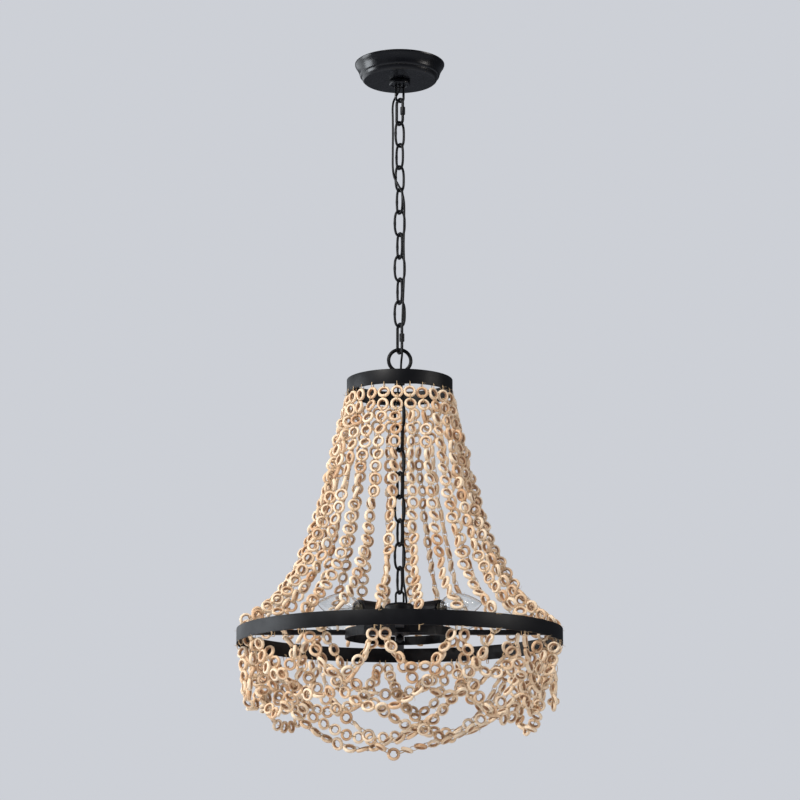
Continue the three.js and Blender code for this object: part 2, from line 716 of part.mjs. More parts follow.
let firstStrand = 0;
strandGroups.forEach((count, group) => {
  const lastStrand = firstStrand + count - 1;
  const members = [];
  for (let i = firstStrand; i <= lastStrand; i++) members.push(strand(i));
  place(`ring_strands_${group + 1}`, join(lacing(firstStrand, lastStrand), ...members), wood);
  firstStrand = lastStrand + 1;
});

// Rings that face the same way next to each other get the thread between them
function withNecks(rings) {
  return rings.flatMap((ring, i) => {
    const before = rings[i - 1];
    if (!before || before.wide !== ring.wide) return [ring];
    const at = before.at.clone().add(ring.at).multiplyScalar(0.5);
    return [{ ...ring, at, wide: woodRingThickness, thick: woodRingThickness }, ring];
  });
}

// Swags hang in catenaries, with their rings evenly spaced along them
function catenaryOf(halfSpan, sag) {
  let [low, high] = [halfSpan / 10, halfSpan * 100];
  for (let i = 0; i < 60; i++) {
    const middle = Math.sqrt(low * high);
    if (middle * (Math.cosh(halfSpan / middle) - 1) > sag) low = middle;
    else high = middle;
  }
  return high;
}

function swagStations(from, to, sag, flatAtEnds, lifts = []) {
  const span = to.clone().sub(from);
  const halfSpan = span.length() / 2;
  const towards = span.clone().normalize();
  const side = new THREE.Vector3().crossVectors(towards, up).normalize();
  const a = catenaryOf(halfSpan, sag);
  const halfLength = a * Math.sinh(halfSpan / a);
  const middle = from.clone().add(to).multiplyScalar(0.5);
  const rings = Math.round(2 * (halfLength - swagLead) / ringPitch) + 1;
  const stations = [];
  for (let i = 0; i < rings; i++) {
    const s = (halfLength - swagLead) * (2 * i / (rings - 1) - 1);
    const fromEnd = Math.min(i, rings - 1 - i);
    const flat = fromEnd < flatAtEnds || (fromEnd - flatAtEnds) % 2 === 1;
    const x = a * Math.asinh(s / a);
    const at = middle.clone().addScaledVector(towards, x);
    at.z += a * Math.cosh(x / a) - a * Math.cosh(halfSpan / a);
    for (const [where, share] of lifts) {
      at.z += share * basketLift * Math.exp(-(((x - where * halfSpan) / basketLiftReach) ** 2));
    }
    const along = towards.clone().addScaledVector(up, s / a).normalize();
    stations.push(ringStation(at, along, side, !flat));
  }
  return withNecks(stations);
}

const tieStep = circle / tieCount;
const tieZ = outerRingBottom - clearance - threadThickness / 2;

// Outer garland: a closed row that swags from tie to tie, with its thread under the band
function outerGarland() {
  const stations = [];
  for (let i = 0; i < tieCount; i++) {
    const angle = strandStartAngle + i * tieStep;
    const nextAngle = angle + tieStep;
    for (const d of [-tieThread / 2, tieThread / 2]) {
      const at = onRing(outerBandMiddle, angle, tieZ).addScaledVector(sideways(angle), d);
      stations.push(threadStation(at, sideways(angle), outward(angle)));
    }
    const radius = outerBandMiddle - outerSwagInset;
    const from = onRing(radius, angle, tieZ).addScaledVector(sideways(angle), outerSwagSpread / 2);
    const to = onRing(radius, nextAngle, tieZ).addScaledVector(sideways(nextAngle), -outerSwagSpread / 2);
    stations.push(...swagStations(from, to, outerSwagSag * outerSwagShares[i], 1));
  }
  return ribbon(stations, true);
}
place("outer_garland", outerGarland(), wood);

// Thread that comes down the band's inner face and turns inwards to its foot
const insideThread = outerRingDiameter / 2 - bandThickness - clearance - threadThickness / 2;
function hanger(angle, inset, footZ) {
  const side = sideways(angle);
  const down = up.clone().negate();
  const turnZ = Math.max(footZ + hangerDrop, outerRingBottom);
  const top = onRing(insideThread, angle, turnZ + hangerHeight);
  const turn = onRing(insideThread, angle, turnZ);
  const foot = onRing(insideThread - inset, angle, footZ);
  const inwards = foot.clone().sub(turn).normalize();
  return [threadStation(top, down, side), threadStation(turn, down, side), threadStation(foot, inwards, side)];
}

// Inner garland: one closed row that swags past a tie each time, so that it goes round twice
const innerFootZ = outerRingBottom - innerFootDrop;
function innerGarland() {
  const stations = [];
  const radius = insideThread - innerFootInset;
  const half = innerFootThread / 2;
  for (let i = 0; i < tieCount; i++) {
    const tie = (i * innerSwagSpan) % tieCount;
    const angle = strandStartAngle + tie * tieStep;
    const nextAngle = angle + innerSwagSpan * tieStep;
    const before = onRing(radius, angle, innerFootZ).addScaledVector(sideways(angle), -half);
    const after = onRing(radius, angle, innerFootZ).addScaledVector(sideways(angle), half);
    const next = onRing(radius, nextAngle, innerFootZ).addScaledVector(sideways(nextAngle), -half);
    for (const at of [before, after]) stations.push(threadStation(at, sideways(angle), outward(angle)));
    stations.push(...swagStations(after, next, innerSwagSag * innerSwagShares[tie], innerFlatRingCount));
  }
  return ribbon(stations, true);
}
const innerHangers = [];
for (let i = 0; i < tieCount; i++) {
  innerHangers.push(ribbon(hanger(strandStartAngle + i * tieStep, innerFootInset, innerFootZ)));
}
place("inner_garland", join(innerGarland(), ...innerHangers), wood);

// Long strands that cross below the middle and make the bottom of the basket
const basketFootZ = outerRingBottom + basketFootLift;
basketStarts.forEach((start, i) => {
  const angle = strandStartAngle + start * tieStep;
  const endAngle = angle + basketSpans[i] * tieStep;
  const [near, far] = [angle, endAngle].map((a) => hanger(a, basketFootInset, basketFootZ));
  const sag = basketSag * basketSagShares[i];
  const rings = swagStations(near.at(-1).at, far.at(-1).at, sag, 1, basketLiftShares[i]);
  const back = far.reverse().map((s) => (
    { ...s, along: s.along.clone().negate(), side: s.side.clone().negate() }));
  place(`basket_strand_${i + 1}`, ribbon([...near, ...rings, ...back]), wood);
});

// Power cord: out of the canopy loop, down beside the chain, through the top loop and down
// beside the inner chain into the hub
const cordRoute = [
  [0, 0, -12], [0, 0, -28], [0, 0.5, -34], [-2, 4, -40], [-5.5, 6.5, -46], [-8.8, 5, -54],
  [-10, 2, -64], [-9.8, -0.5, -80], [-9.6, -0.5, -105], [-9.8, 0, -130], [-9.6, -2, -155],
  [-7.5, -7, -170], [-2.5, -10.2, -181], [3, -10, -192], [6, -8.4, -206], [6.2, -8.6, -235],
  [5.6, -9, -270], [6.2, -8.4, -305], [5.2, -9, -335], [4.4, -9.6, -355], [3.8, -10.8, -374],
  [3.2, -11.5, -390], [3, -11.4, -404], [3.3, -10.2, -416], [3.2, -6.5, -425.5], [2.2, -1, -433.5],
  [1.7, 6, -442.5], [2, 10.6, -456], [2.8, 11, -470], [4.4, 9.8, -490], [5, 9.4, -520], [4.4, 9.8, -560],
  [5, 9.4, -600], [4.4, 9.8, -640], [5, 9.4, -680], [4.6, 9.7, -715], [5.4, 9.4, -740],
  [8, 7.4, -756], [hubRadius * 0.45, hubRadius * 0.3, -768],
  [hubRadius * 0.45, hubRadius * 0.3, hubTop - cordEntryDepth + clearance],
];
const cordCurve = new THREE.CatmullRomCurve3(cordRoute.map((p) => new THREE.Vector3(...p)));
const cordSection = new THREE.Shape();
for (let i = 0; i < cordSides; i++) {
  const turn = (i / cordSides) * 2 * Math.PI;
  const [x, y] = [Math.cos(turn) * cordDiameter / 2, Math.sin(turn) * cordDiameter / 2];
  if (i === 0) cordSection.moveTo(x, y);
  else cordSection.lineTo(x, y);
}
cordSection.closePath();
place("power_cord", plain(new THREE.ExtrudeGeometry(cordSection, {
  steps: cordSteps, extrudePath: cordCurve, bevelEnabled: false,
})), cable);

export default chandelier;
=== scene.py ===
import math
import random
from math import cos, pi, radians, sin

import bmesh
import bpy
from mathutils import Matrix, Vector


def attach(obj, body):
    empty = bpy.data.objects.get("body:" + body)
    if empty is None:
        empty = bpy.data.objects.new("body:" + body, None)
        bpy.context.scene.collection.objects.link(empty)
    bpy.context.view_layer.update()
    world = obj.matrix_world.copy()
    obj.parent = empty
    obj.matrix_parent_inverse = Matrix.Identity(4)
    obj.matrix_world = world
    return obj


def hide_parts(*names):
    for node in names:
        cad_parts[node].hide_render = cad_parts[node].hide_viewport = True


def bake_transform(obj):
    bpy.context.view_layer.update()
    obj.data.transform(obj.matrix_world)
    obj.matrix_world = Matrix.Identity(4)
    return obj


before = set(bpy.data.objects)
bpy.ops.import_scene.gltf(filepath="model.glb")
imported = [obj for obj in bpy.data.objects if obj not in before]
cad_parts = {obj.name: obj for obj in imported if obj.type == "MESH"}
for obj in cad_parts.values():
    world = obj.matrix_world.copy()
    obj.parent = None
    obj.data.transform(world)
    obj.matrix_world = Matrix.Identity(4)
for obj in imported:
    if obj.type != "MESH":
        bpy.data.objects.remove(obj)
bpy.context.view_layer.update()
print("frame loaded")

mm = 0.001
up = Vector((0, 0, 1))
across = (0, 1, 0)


# camera, light and floor, in metres

cameraSetup = {"x": 0.0004, "distance": 3.271, "height": -1.2073, "pitchUp": 12.4, "lens": 109.35, "sensor": 36,
               "reach": 60}
stageSetup = {
    "backdrop": (0.61, 0.63, 0.675),
    "fill": (0.80, 0.86, 1.0),
    "fillStrength": 0.33, "lowFillStrength": 0.14, "glossShare": 0.3,
    "floorDrop": 4.2,
    "floorSize": 20,
    "floorColour": (0.9, 0.9, 0.91),
    "lamps": [
        # name, place, aims at, size, watts, colour, seen as a reflection
        ("keyLamp", (-1.9, -2.3, 1.4), (0, 0, -0.75), 0.4, 113, (1.0, 0.98, 0.95), True),
        ("windowLamp", (-3.2, 0.3, -0.4), (0, 0, -0.7), 1.4, 56, (0.90, 0.95, 1.0), True),
        ("farWindowLamp", (-2.3, 2.4, -0.9), (0, 0, -0.8), 2.7, 32, (0.90, 0.95, 1.0), True),
        ("rightLamp", (3.0, -1.0, 0.1), (0, 0, -0.6), 1.1, 30, (1.0, 0.96, 0.92), True),
        ("lowLamp", (-0.4, -2.6, -2.0), (0, 0, -0.8), 1.4, 24, (1.0, 0.97, 0.94), False),
        ("backLamp", (1.2, 2.6, 0.4), (0, 0, -0.7), 1.6, 24, (0.92, 0.96, 1.0), False),
    ],
}


def shown(name, data):
    thing = bpy.data.objects.new(name, data)
    bpy.context.scene.collection.objects.link(thing)
    return thing


def makeCamera():
    s = cameraSetup
    data = bpy.data.cameras.new("camera")
    data.lens, data.sensor_width, data.clip_end = s["lens"], s["sensor"], s["reach"]
    camera = shown("camera", data)
    camera.location = (s["x"], -s["distance"], s["height"])
    camera.rotation_euler = (radians(90 + s["pitchUp"]), 0, 0)
    bpy.context.scene.camera = camera


def makeLamps():
    for name, place, target, size, watts, colour, reflected in stageSetup["lamps"]:
        data = bpy.data.lights.new(name, "AREA")
        data.energy, data.size, data.color = watts, size, colour
        light = shown(name, data)
        light.location = place
        light.rotation_euler = (Vector(target) - Vector(place)).to_track_quat("-Z", "Y").to_euler()
        light.visible_transmission, light.visible_glossy = False, reflected


# node trees

class Graph:
    def __init__(self, tree, prefix="ShaderNode"):
        self.tree, self.prefix = tree, prefix

    def add(self, kind, inputs=None, **settings):
        node = self.tree.nodes.new(self.prefix + kind)
        for name, value in settings.items():
            setattr(node, name, value)
        self.feed(node, inputs or {})
        return node

    def feed(self, node, inputs):
        for name, value in inputs.items():
            value = getattr(value, "source", value)
            value = value.outputs[0] if isinstance(value, bpy.types.Node) else value
            if isinstance(value, bpy.types.NodeSocket):
                self.tree.links.new(value, node.inputs[name])
            else:
                node.inputs[name].default_value = value

    def maths(self, operation, *values):
        return Signal(self, self.add("Math", dict(enumerate(values)), operation=operation))

    def vectorMaths(self, operation, *values):
        return self.add("VectorMath", dict(enumerate(values)), operation=operation).outputs

    def attribute(self, name, output="Fac"):
        return Signal(self, self.add("Attribute", attribute_name=name).outputs[output])

    def mixColour(self, factor, *ends):
        first, second = ((*end, 1) if isinstance(end, tuple) else end for end in ends)
        return self.add("Mix", {0: factor, 6: first, 7: second}, data_type="RGBA").outputs[2]

    def noise(self, vector, scale, detail=3, roughness=0.55):
        return Signal(self, self.add("TexNoise", {
            "Vector": vector, "Scale": scale, "Detail": detail, "Roughness": roughness}))


class Signal:
    def __init__(self, graph, source):
        self.graph, self.source = graph, source

    def __add__(self, other):
        return self.graph.maths("ADD", self, other)

    def __sub__(self, other):
        return self.graph.maths("SUBTRACT", self, other)

    def __rsub__(self, other):
        return self.graph.maths("SUBTRACT", other, self)

    def __mul__(self, other):
        return self.graph.maths("MULTIPLY", self, other)

    def between(self, low, high):
        return Signal(self.graph, self.graph.add("MapRange", {
            "Value": self, "From Min": low, "From Max": high}, interpolation_type="SMOOTHSTEP"))


def newFinish(name, look, fixed):
    material = bpy.data.materials.new(name)
    material.use_nodes = True
    material.node_tree.nodes.clear()
    graph = Graph(material.node_tree)
    shader = graph.add("BsdfPrincipled", fixed)
    graph.add("OutputMaterial", {"Surface": shader})
    graph.feed(shader, look(graph))
    return material


def bump(graph, height, strength, distance):
    return graph.add("Bump", {"Height": height, "Strength": strength, "Distance": distance})


def stretched(graph, vector, scale):
    return graph.add("Mapping", {"Vector": vector, "Scale": scale})


def objectCoords(graph):
    return graph.add("TexCoord").outputs["Object"]


# finishes

paintSizes = {"grit": 1500, "mottle": 55, "speck": 420}


def paintFinish(name, colour, dusty, roughness, shine, coat):
    def look(graph):
        where = objectCoords(graph)
        grit = graph.noise(where, paintSizes["grit"], 2)
        mottle = graph.noise(where, paintSizes["mottle"], 4)
        speck = graph.noise(where, paintSizes["speck"], 3).between(0.62, 0.78)
        shade = (mottle * 0.7 + speck * 0.5).between(0.25, 0.95)
        return {
            "Base Color": graph.mixColour(shade, colour, dusty),
            "Roughness": mottle * 0.18 + grit * 0.08 + (roughness - 0.13),
            "Normal": bump(graph, grit * 0.7 + speck * 0.4, 0.22, 0.00012)}

    return newFinish(name, look, {"Specular IOR Level": shine, "Coat Weight": coat, "Coat Roughness": 0.3})


def zincLook(graph):
    where = objectCoords(graph)
    brushed = graph.noise(stretched(graph, where, (60, 1400, 1400)), 1, 3)
    cloud = graph.noise(where, 90, 3)
    return {
        "Base Color": graph.mixColour(cloud, (0.42, 0.42, 0.41), (0.66, 0.66, 0.64)),
        "Roughness": brushed * 0.25 + 0.28,
        "Normal": bump(graph, brushed, 0.2, 0.0001)}


def capLookWithPaintedShade(graph):
    cloud = graph.noise(objectCoords(graph), 220, 3)
    return {
        # the cap's metal colour is painted dark, as painted shade where it sits inside the socket
        "Base Color": graph.mixColour(cloud, (0.10, 0.085, 0.06), (0.2, 0.17, 0.125)),
        "Roughness": cloud * 0.2 + 0.2}


ringSize = {"outside": 17.5, "hole": 9.3, "thickness": 4.7}
woodColours = {
    "pale": (0.95, 0.79, 0.59),
    "honey": (0.85, 0.63, 0.415),
    "tan": (0.56, 0.30, 0.145),
    "vein": (0.30, 0.135, 0.055),
}


def woodLook(graph):
    c = woodColours
    local, tint, seat = graph.attribute("local", "Vector"), graph.attribute("tint"), graph.attribute("seat")
    shift = graph.add("CombineXYZ", {"X": tint * 3.1, "Y": tint * 7.7, "Z": seat * 5.3})
    where = graph.vectorMaths("ADD", local, shift)[0]
    grain = graph.noise(stretched(graph, where, (90, 700, 520)), 1, 4, 0.6)
    streak = graph.noise(stretched(graph, where, (50, 1500, 1300)), 1, 2, 0.5)
    pores = graph.noise(stretched(graph, where, (420, 2600, 2600)), 1, 2, 0.5).between(0.6, 0.75)
    body = graph.add("ValToRGB", {"Fac": tint * tint * 0.7 + grain.between(0.35, 0.7) * 0.36})
    stops = body.color_ramp.elements
    stops.new(0.5)
    for stop, position, tone in zip(stops, (0, 0.45, 1), ("pale", "honey", "tan")):
        stop.position, stop.color = position, (*c[tone], 1)
    veined = graph.mixColour(streak.between(0.55, 0.7) * 0.45, body, c["vein"])
    flecked = graph.mixColour(pores * 0.3, veined, c["vein"])
    # painted shade: the wood is darker in the hole, and the darkening fades out halfway to the rim
    reach = graph.vectorMaths("LENGTH", graph.vectorMaths("MULTIPLY", local, (1, 1, 0))[0])["Value"]
    hole, rim = ringSize["hole"] / 2 * mm, ringSize["outside"] / 2 * mm
    holeShade = 1 - Signal(graph, reach).between(hole * 1.02, hole * 0.5 + rim * 0.5)
    return {
        "Base Color": graph.mixColour(holeShade * 0.9, flecked, c["vein"]),
        "Roughness": grain * 0.2 + 0.45,
        "Normal": bump(graph, grain * 0.5 + streak * 0.6 - pores * 0.5, 0.3, 0.00018)}


def threadLook(graph):
    where = objectCoords(graph)
    ply = graph.add("TexWave", {"Vector": where, "Scale": 620, "Distortion": 1.2, "Detail": 1},
                    bands_direction="DIAGONAL").outputs["Fac"]
    fuzz = graph.noise(where, 1800, 2)
    return {
        "Base Color": graph.mixColour(fuzz, (0.36, 0.22, 0.10), (0.74, 0.56, 0.35)),
        "Normal": bump(graph, Signal(graph, ply) * 0.8 + fuzz * 0.4, 0.5, 0.0002)}


def cordLook(graph):
    where = objectCoords(graph)
    scuff = graph.noise(where, 140, 4)
    worn = scuff.between(0.45, 0.75)
    return {
        "Base Color": graph.mixColour(worn, (0.003, 0.0031, 0.0038), (0.008, 0.0082, 0.0096)),
        "Roughness": scuff * 0.25 + 0.36,
        "Normal": bump(graph, graph.noise(where, 1600, 2), 0.15, 0.0001)}


def glassLook(graph):
    smear = graph.noise(objectCoords(graph), 60, 2)
    return {"Roughness": smear.between(0.5, 0.8) * 0.03}


def filamentLook(graph):
    cloud = graph.noise(objectCoords(graph), 400, 2)
    return {"Base Color": graph.mixColour(cloud, (0.26, 0.21, 0.15), (0.40, 0.34, 0.26))}


matteBlack = paintFinish("matteBlack", (0.0028, 0.003, 0.0042), (0.0075, 0.0079, 0.0102),
                         roughness=0.47, shine=0.23, coat=0.0)
satinBlack = paintFinish("satinBlack", (0.0018, 0.002, 0.003), (0.0052, 0.0056, 0.0075),
                         roughness=0.26, shine=0.36, coat=0.12)
zincPlate = newFinish("zincPlate", zincLook, {"Metallic": 1})
lampCap = newFinish("lampCap", capLookWithPaintedShade, {"Metallic": 1})
paleWood = newFinish("paleWood", woodLook, {"Specular IOR Level": 0.4})
flaxThread = newFinish("flaxThread", threadLook, {"Roughness": 0.85})
blackCord = newFinish("blackCord", cordLook, {"Specular IOR Level": 0.25})
clearGlass = newFinish("clearGlass", glassLook, {
    "Base Color": (0.97, 0.98, 0.98, 1), "Transmission Weight": 1, "IOR": 1.48})
filamentWire = newFinish("filamentWire", filamentLook, {"Metallic": 0.6, "Roughness": 0.4})
print("finishes made")


# mesh helpers, in millimetres; a part is its points and its faces

def meshPiece(name, part, material, smoothAngle=35, place=None):
    mesh = bpy.data.meshes.new(name)
    points = [Vector(v) for v in part[0]]
    if place is not None:
        points = [place @ p for p in points]
    mesh.from_pydata([p * mm for p in points], [], part[1])
    work = bmesh.new()
    work.from_mesh(mesh)
    bmesh.ops.remove_doubles(work, verts=work.verts, dist=1e-6)
    bmesh.ops.recalc_face_normals(work, faces=work.faces)
    limit = radians(smoothAngle)
    for face in work.faces:
        face.smooth = True
    for edge in work.edges:
        if len(edge.link_faces) == 2 and edge.calc_face_angle(0) > limit:
            edge.smooth = False
    work.to_mesh(mesh)
    work.free()
    mesh.materials.append(material)
    return shown(name, mesh)


def turnedMesh(profile, segments):
    vertices, faces, rows = [], [], []
    for r, z in profile:
        if r < 1e-6:
            rows.append([len(vertices)])
            vertices.append((0, 0, z))
        else:
            rows.append(list(range(len(vertices), len(vertices) + segments)))
            for turn in turns(segments):
                vertices.append((r * cos(turn), r * sin(turn), z))
    for a, b in zip(rows, rows[1:]):
        for j in range(segments):
            k = (j + 1) % segments
            corners = [a[j % len(a)], a[k % len(a)], b[k % len(b)], b[j % len(b)]]
            face = [c for i, c in enumerate(corners) if c not in corners[:i]]
            if len(face) > 2:
                faces.append(face)
    return vertices, faces


def turns(count):
    return [2 * pi * i / count for i in range(count)]


def roundCorners(profile, radius, steps=4, closed=False):
    points = [Vector((p[0], p[1])) for p in profile]
    if closed:
        points = points[:-1]
    count = len(points)
    result = []
    for i, corner in enumerate(points):
        before, after = points[i - 1], points[(i + 1) % count]
        inward, onward = (before - corner), (after - corner)
        reach = min(radius, inward.length * 0.45, onward.length * 0.45)
        fixed = not closed and i in (0, count - 1)
        if fixed or reach < 1e-4 or inward.angle(onward) > radians(172):
            result.append(tuple(corner))
            continue
        start, end = corner + inward.normalized() * reach, corner + onward.normalized() * reach
        for s in range(steps + 1):
            t = s / steps
            result.append(tuple(start * (1 - t) ** 2 + corner * 2 * t * (1 - t) + end * t * t))
    if closed:
        result.append(result[0])
    return result


def turnedPiece(name, profile, material, segments=96, corner=0.4, closed=False, place=None, smoothAngle=35):
    rounded = roundCorners(profile, corner, 3, closed) if corner else profile
    return meshPiece(name, turnedMesh(rounded, segments), material, smoothAngle, place)


def tubeFaces(count, sides, closed=False, firstEnd=False, lastEnd=False):
    faces = []
    for i in range(count if closed else count - 1):
        n = (i + 1) % count
        for j in range(sides):
            k = (j + 1) % sides
            faces.append((i * sides + j, i * sides + k, n * sides + k, n * sides + j))
    if firstEnd:
        faces.append(tuple(range(sides)))
    if lastEnd:
        faces.append(tuple(range((count - 1) * sides, count * sides)))
    return faces


def tubeMesh(path, radius, sides, closed=False, firstNormal=None):
    points = [Vector(p) for p in path]
    count = len(points)
    tangents = []
    for i in range(count):
        a = points[i - 1] if closed or i > 0 else points[i]
        b = points[(i + 1) % count] if closed or i < count - 1 else points[i]
        tangents.append((b - a).normalized())
    normal = Vector(firstNormal) if firstNormal else tangents[0].orthogonal()
    normal = (normal - tangents[0] * normal.dot(tangents[0])).normalized()
    vertices = []
    radii = radius if isinstance(radius, list) else [radius] * count
    for i in range(count):
        normal = (normal - tangents[i] * normal.dot(tangents[i])).normalized()
        other = tangents[i].cross(normal)
        for turn in turns(sides):
            vertices.append(points[i] + (normal * cos(turn) + other * sin(turn)) * radii[i])
    return vertices, tubeFaces(count, sides, closed, not closed, not closed)


def joined(*parts):
    vertices, faces = [], []
    for partVertices, partFaces in parts:
        start = len(vertices)
        vertices += [Vector(v) for v in partVertices]
        faces += [tuple(start + i for i in face) for face in partFaces]
    return vertices, faces


def moved(part, place):
    return [place @ Vector(v) for v in part[0]], part[1]


def outward(degrees):
    return Vector((sin(radians(degrees)), -cos(radians(degrees)), 0))


def sideways(degrees):
    return Vector((cos(radians(degrees)), sin(radians(degrees)), 0))


def onRing(radius, degrees, z):
    return outward(degrees) * radius + up * z


def turnedTo(degrees, z=0):
    return Matrix.Translation((0, 0, z)) @ Matrix.Rotation(radians(degrees), 4, "Z")


def squared(value, power):
    # rounds a circle's sine or cosine towards a square's
    return math.copysign(abs(value) ** power, value)


# heights shared by the pieces, in millimetres as in the solid model

gap = 0.3
canopyDepth = 25
loop = {"wire": 3.5, "width": 15, "drop": 32.6, "yaw": 20, "root": 1, "bossRadius": 11.2, "bossHeight": 10,
        "bossBelow": 5.4, "bore": 3, "wellRadius": 5.1, "wellDepth": 7}
chain = {
    "wire": 3, "paintedWire": 3.5, "width": 17, "length": 39.4, "play": 0.7, "roundness": 0.74,
    "weld": 0.16, "weldReach": 1.9,
    "yaws": [34, -50, 36, -56, 12, -62, 8, -64, 8], "innerYaws": [20, -64, 20, -64, 20, -64, 20, -64],
}
quick = {
    "wire": 4, "width": 17, "gap": 5, "sleeveRadius": 3.5, "sleeveLength": 11, "shoulder": 1.5, "flatEase": 1.03,
    "upper": {"length": 42, "yaw": -49}, "lower": {"length": 45.6, "yaw": -62},
}
topLoop = {
    "diameter": 36, "wire": 5, "yaw": 8, "neckRadius": 4, "neckLength": 10,
    # shares of the neck's radius, and heights over the top ring
    "neck": [(0, 12.5), (0.8, 12.5), (0.8, 10), (1, 5), (1.1, 2.4), (1.6, 2), (1.6, gap), (0.6, gap), (0.6, -3),
             (0, -3)],
}
band = {"thickness": 2, "top": 146, "topHeight": 20, "outer": 440, "outerHeight": 20, "inner": 148,
        "innerHeight": 12, "apart": 325.6}

hub = {"radius": 20.5, "height": 27, "stem": 8, "edge": 3, "shoulder": [(4, 0), (2, 2), (0, 3.5)], "loopWidth": 13.6,
       "loopHeight": 19, "loopWire": 3, "foot": [(0, 1.6), (8.2, 1.6), (8.8, gap), (0, gap)]}

loopBottom = -canopyDepth - loop["drop"] + loop["wire"] / 2
upperTop = loopBottom + (loop["wire"] + quick["wire"]) / 2 + gap
upperBottom = upperTop - (quick["upper"]["length"] - quick["wire"])
chainTop = upperBottom + (quick["wire"] + chain["wire"]) / 2 + gap
pitch = chain["length"] - 2 * chain["wire"] - chain["play"]
chainBottom = chainTop - (len(chain["yaws"]) - 1) * pitch - (chain["length"] - chain["wire"])
lowerTop = chainBottom + (chain["wire"] + quick["wire"]) / 2 + gap
lowerBottom = lowerTop - (quick["lower"]["length"] - quick["wire"])
topLoopTop = lowerBottom + (quick["wire"] + topLoop["wire"]) / 2 + gap
topLoopMiddle = topLoopTop - (topLoop["diameter"] - topLoop["wire"]) / 2
topRingTop = topLoopMiddle - topLoop["diameter"] / 2 - topLoop["neckLength"]
topRingBottom = topRingTop - band["topHeight"]
outerRingTop = topRingBottom - band["apart"]
outerRingBottom = outerRingTop - band["outerHeight"]
hubTop = outerRingTop + hub["height"] + hub["stem"] + gap
loopBossTop = -canopyDepth - loop["bossBelow"] + loop["bossHeight"]
loopBossBottom = loopBossTop - loop["bossHeight"]


# canopy, collar and loop

canopy = {
    "wall": 1.2, "hole": 12.5,
    # radius and depth down its outside: rim, flared side, crease, rounded foot, flat face
    "side": [(63.5, 0.3), (63.4, 1.6), (62.8, 3), (61.2, 5.5), (59.7, 8), (58.5, 10.6), (57.6, 13), (56.9, 15.5),
             (56.2, 17.6), (55.4, 18.2), (54.5, 18.6), (54.1, 19.6), (53.6, 21.4), (52.6, 23.2), (51, 24.6),
             (50.2, 25), (49.4, 25)],
}


def canopySide(inset):
    return [(r - inset, min(inset - depth, -gap)) for r, depth in canopy["side"]]


def makeCanopy():
    c = canopy
    outside = canopySide(0) + [(c["hole"], -canopyDepth)]
    inside = canopySide(c["wall"]) + [(c["hole"], -canopyDepth + c["wall"])]
    shell = outside + inside[::-1] + [outside[0]]
    piece = turnedPiece("canopyShell", shell, satinBlack, 128, 0, True)
    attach(piece, "canopy_cover")
    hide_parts("canopy")


collar = {"radius": 14.8, "height": 6, "clearance": 0.3, "edge": 1, "teeth": 40, "toothDepth": 0.02,
          "toothReach": 0.4}


def makeCollar():
    c = collar
    top = -canopyDepth - gap
    bottom = top - c["height"]
    bore, radius, edge = loop["bossRadius"] + c["clearance"], c["radius"], c["edge"]
    profile = [(bore, top), (radius - edge, top), (radius, top - edge), (radius, bottom + edge),
               (radius - edge, bottom), (bore, bottom), (bore, top)]
    vertices, faces = turnedMesh(roundCorners(profile, 0.4, 2, True), 120)
    knurled = []
    for x, y, z in vertices:
        tooth = 0.5 + 0.5 * cos(c["teeth"] * math.atan2(y, x))
        grip = 1 - c["toothDepth"] * tooth if math.hypot(x, y) > radius - c["toothReach"] else 1
        knurled.append((x * grip, y * grip, z))
    piece = meshPiece("canopyCollar", (knurled, faces), satinBlack)
    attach(piece, "collar")
    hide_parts("collar_nut")


def stapleMesh(width, drop, wire, steps=20):
    bend = (width - wire) / 2
    low = wire / 2 + bend - drop
    path = [Vector((bend, 0, low * i / 4)) for i in range(4)]
    path += [Vector((cos(-i / steps * pi) * bend, 0, low + sin(-i / steps * pi) * bend))
             for i in range(steps + 1)]
    path += [Vector((-bend, 0, low * i / 4)) for i in (3, 2, 1, 0)]
    return tubeMesh(path, wire / 2, 18, False, across)


def makeCanopyLoop():
    bore, radius, well = loop["bore"], loop["bossRadius"], loop["wellRadius"]
    floor, root = loopBossTop - loop["wellDepth"], loopBossBottom + loop["root"]
    boss = [(bore, loopBossBottom), (radius, loopBossBottom), (radius, loopBossTop), (well, loopBossTop),
            (well, floor), (bore, floor), (bore, loopBossBottom)]
    body = turnedMesh(roundCorners(boss, 0.5, 3, True), 64)
    staple = stapleMesh(loop["width"], root - (loopBottom - loop["wire"] / 2), loop["wire"])
    piece = meshPiece("canopyLoop", joined(body, moved(staple, turnedTo(loop["yaw"], root))), satinBlack)
    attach(piece, "mounting")
    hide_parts("canopy_loop")


# chain

def ovalPath(width, length, wire, steps=12, straight=10):
    bend = (width - wire) / 2
    low = -(length - wire) + bend
    path = []
    for side, half, start, end in ((-bend, 0, -bend, low), (bend, pi, low, -bend)):
        for i in range(steps):
            turn = half + pi * i / steps
            path.append(Vector((cos(turn) * bend, 0, start + sin(turn) * bend)))
        for i in range(straight):
            path.append(Vector((side, 0, start + (end - start) * i / straight)))
    return path


def linkMesh(steps=44):
    halfWidth, halfLength = (chain["width"] - chain["wire"]) / 2, (chain["length"] - chain["wire"]) / 2
    path, radii = [], []
    for turn in turns(steps):
        x, z = (squared(v, chain["roundness"]) for v in (cos(turn), sin(turn)))
        path.append(Vector((x * halfWidth, 0, z * halfLength - halfLength)))
        weld = math.exp(-(z * halfLength / chain["weldReach"]) ** 2) if x < 0 else 0
        radii.append(chain["paintedWire"] / 2 * (1 + chain["weld"] * weld))
    return tubeMesh(path, radii, 14, True, across)


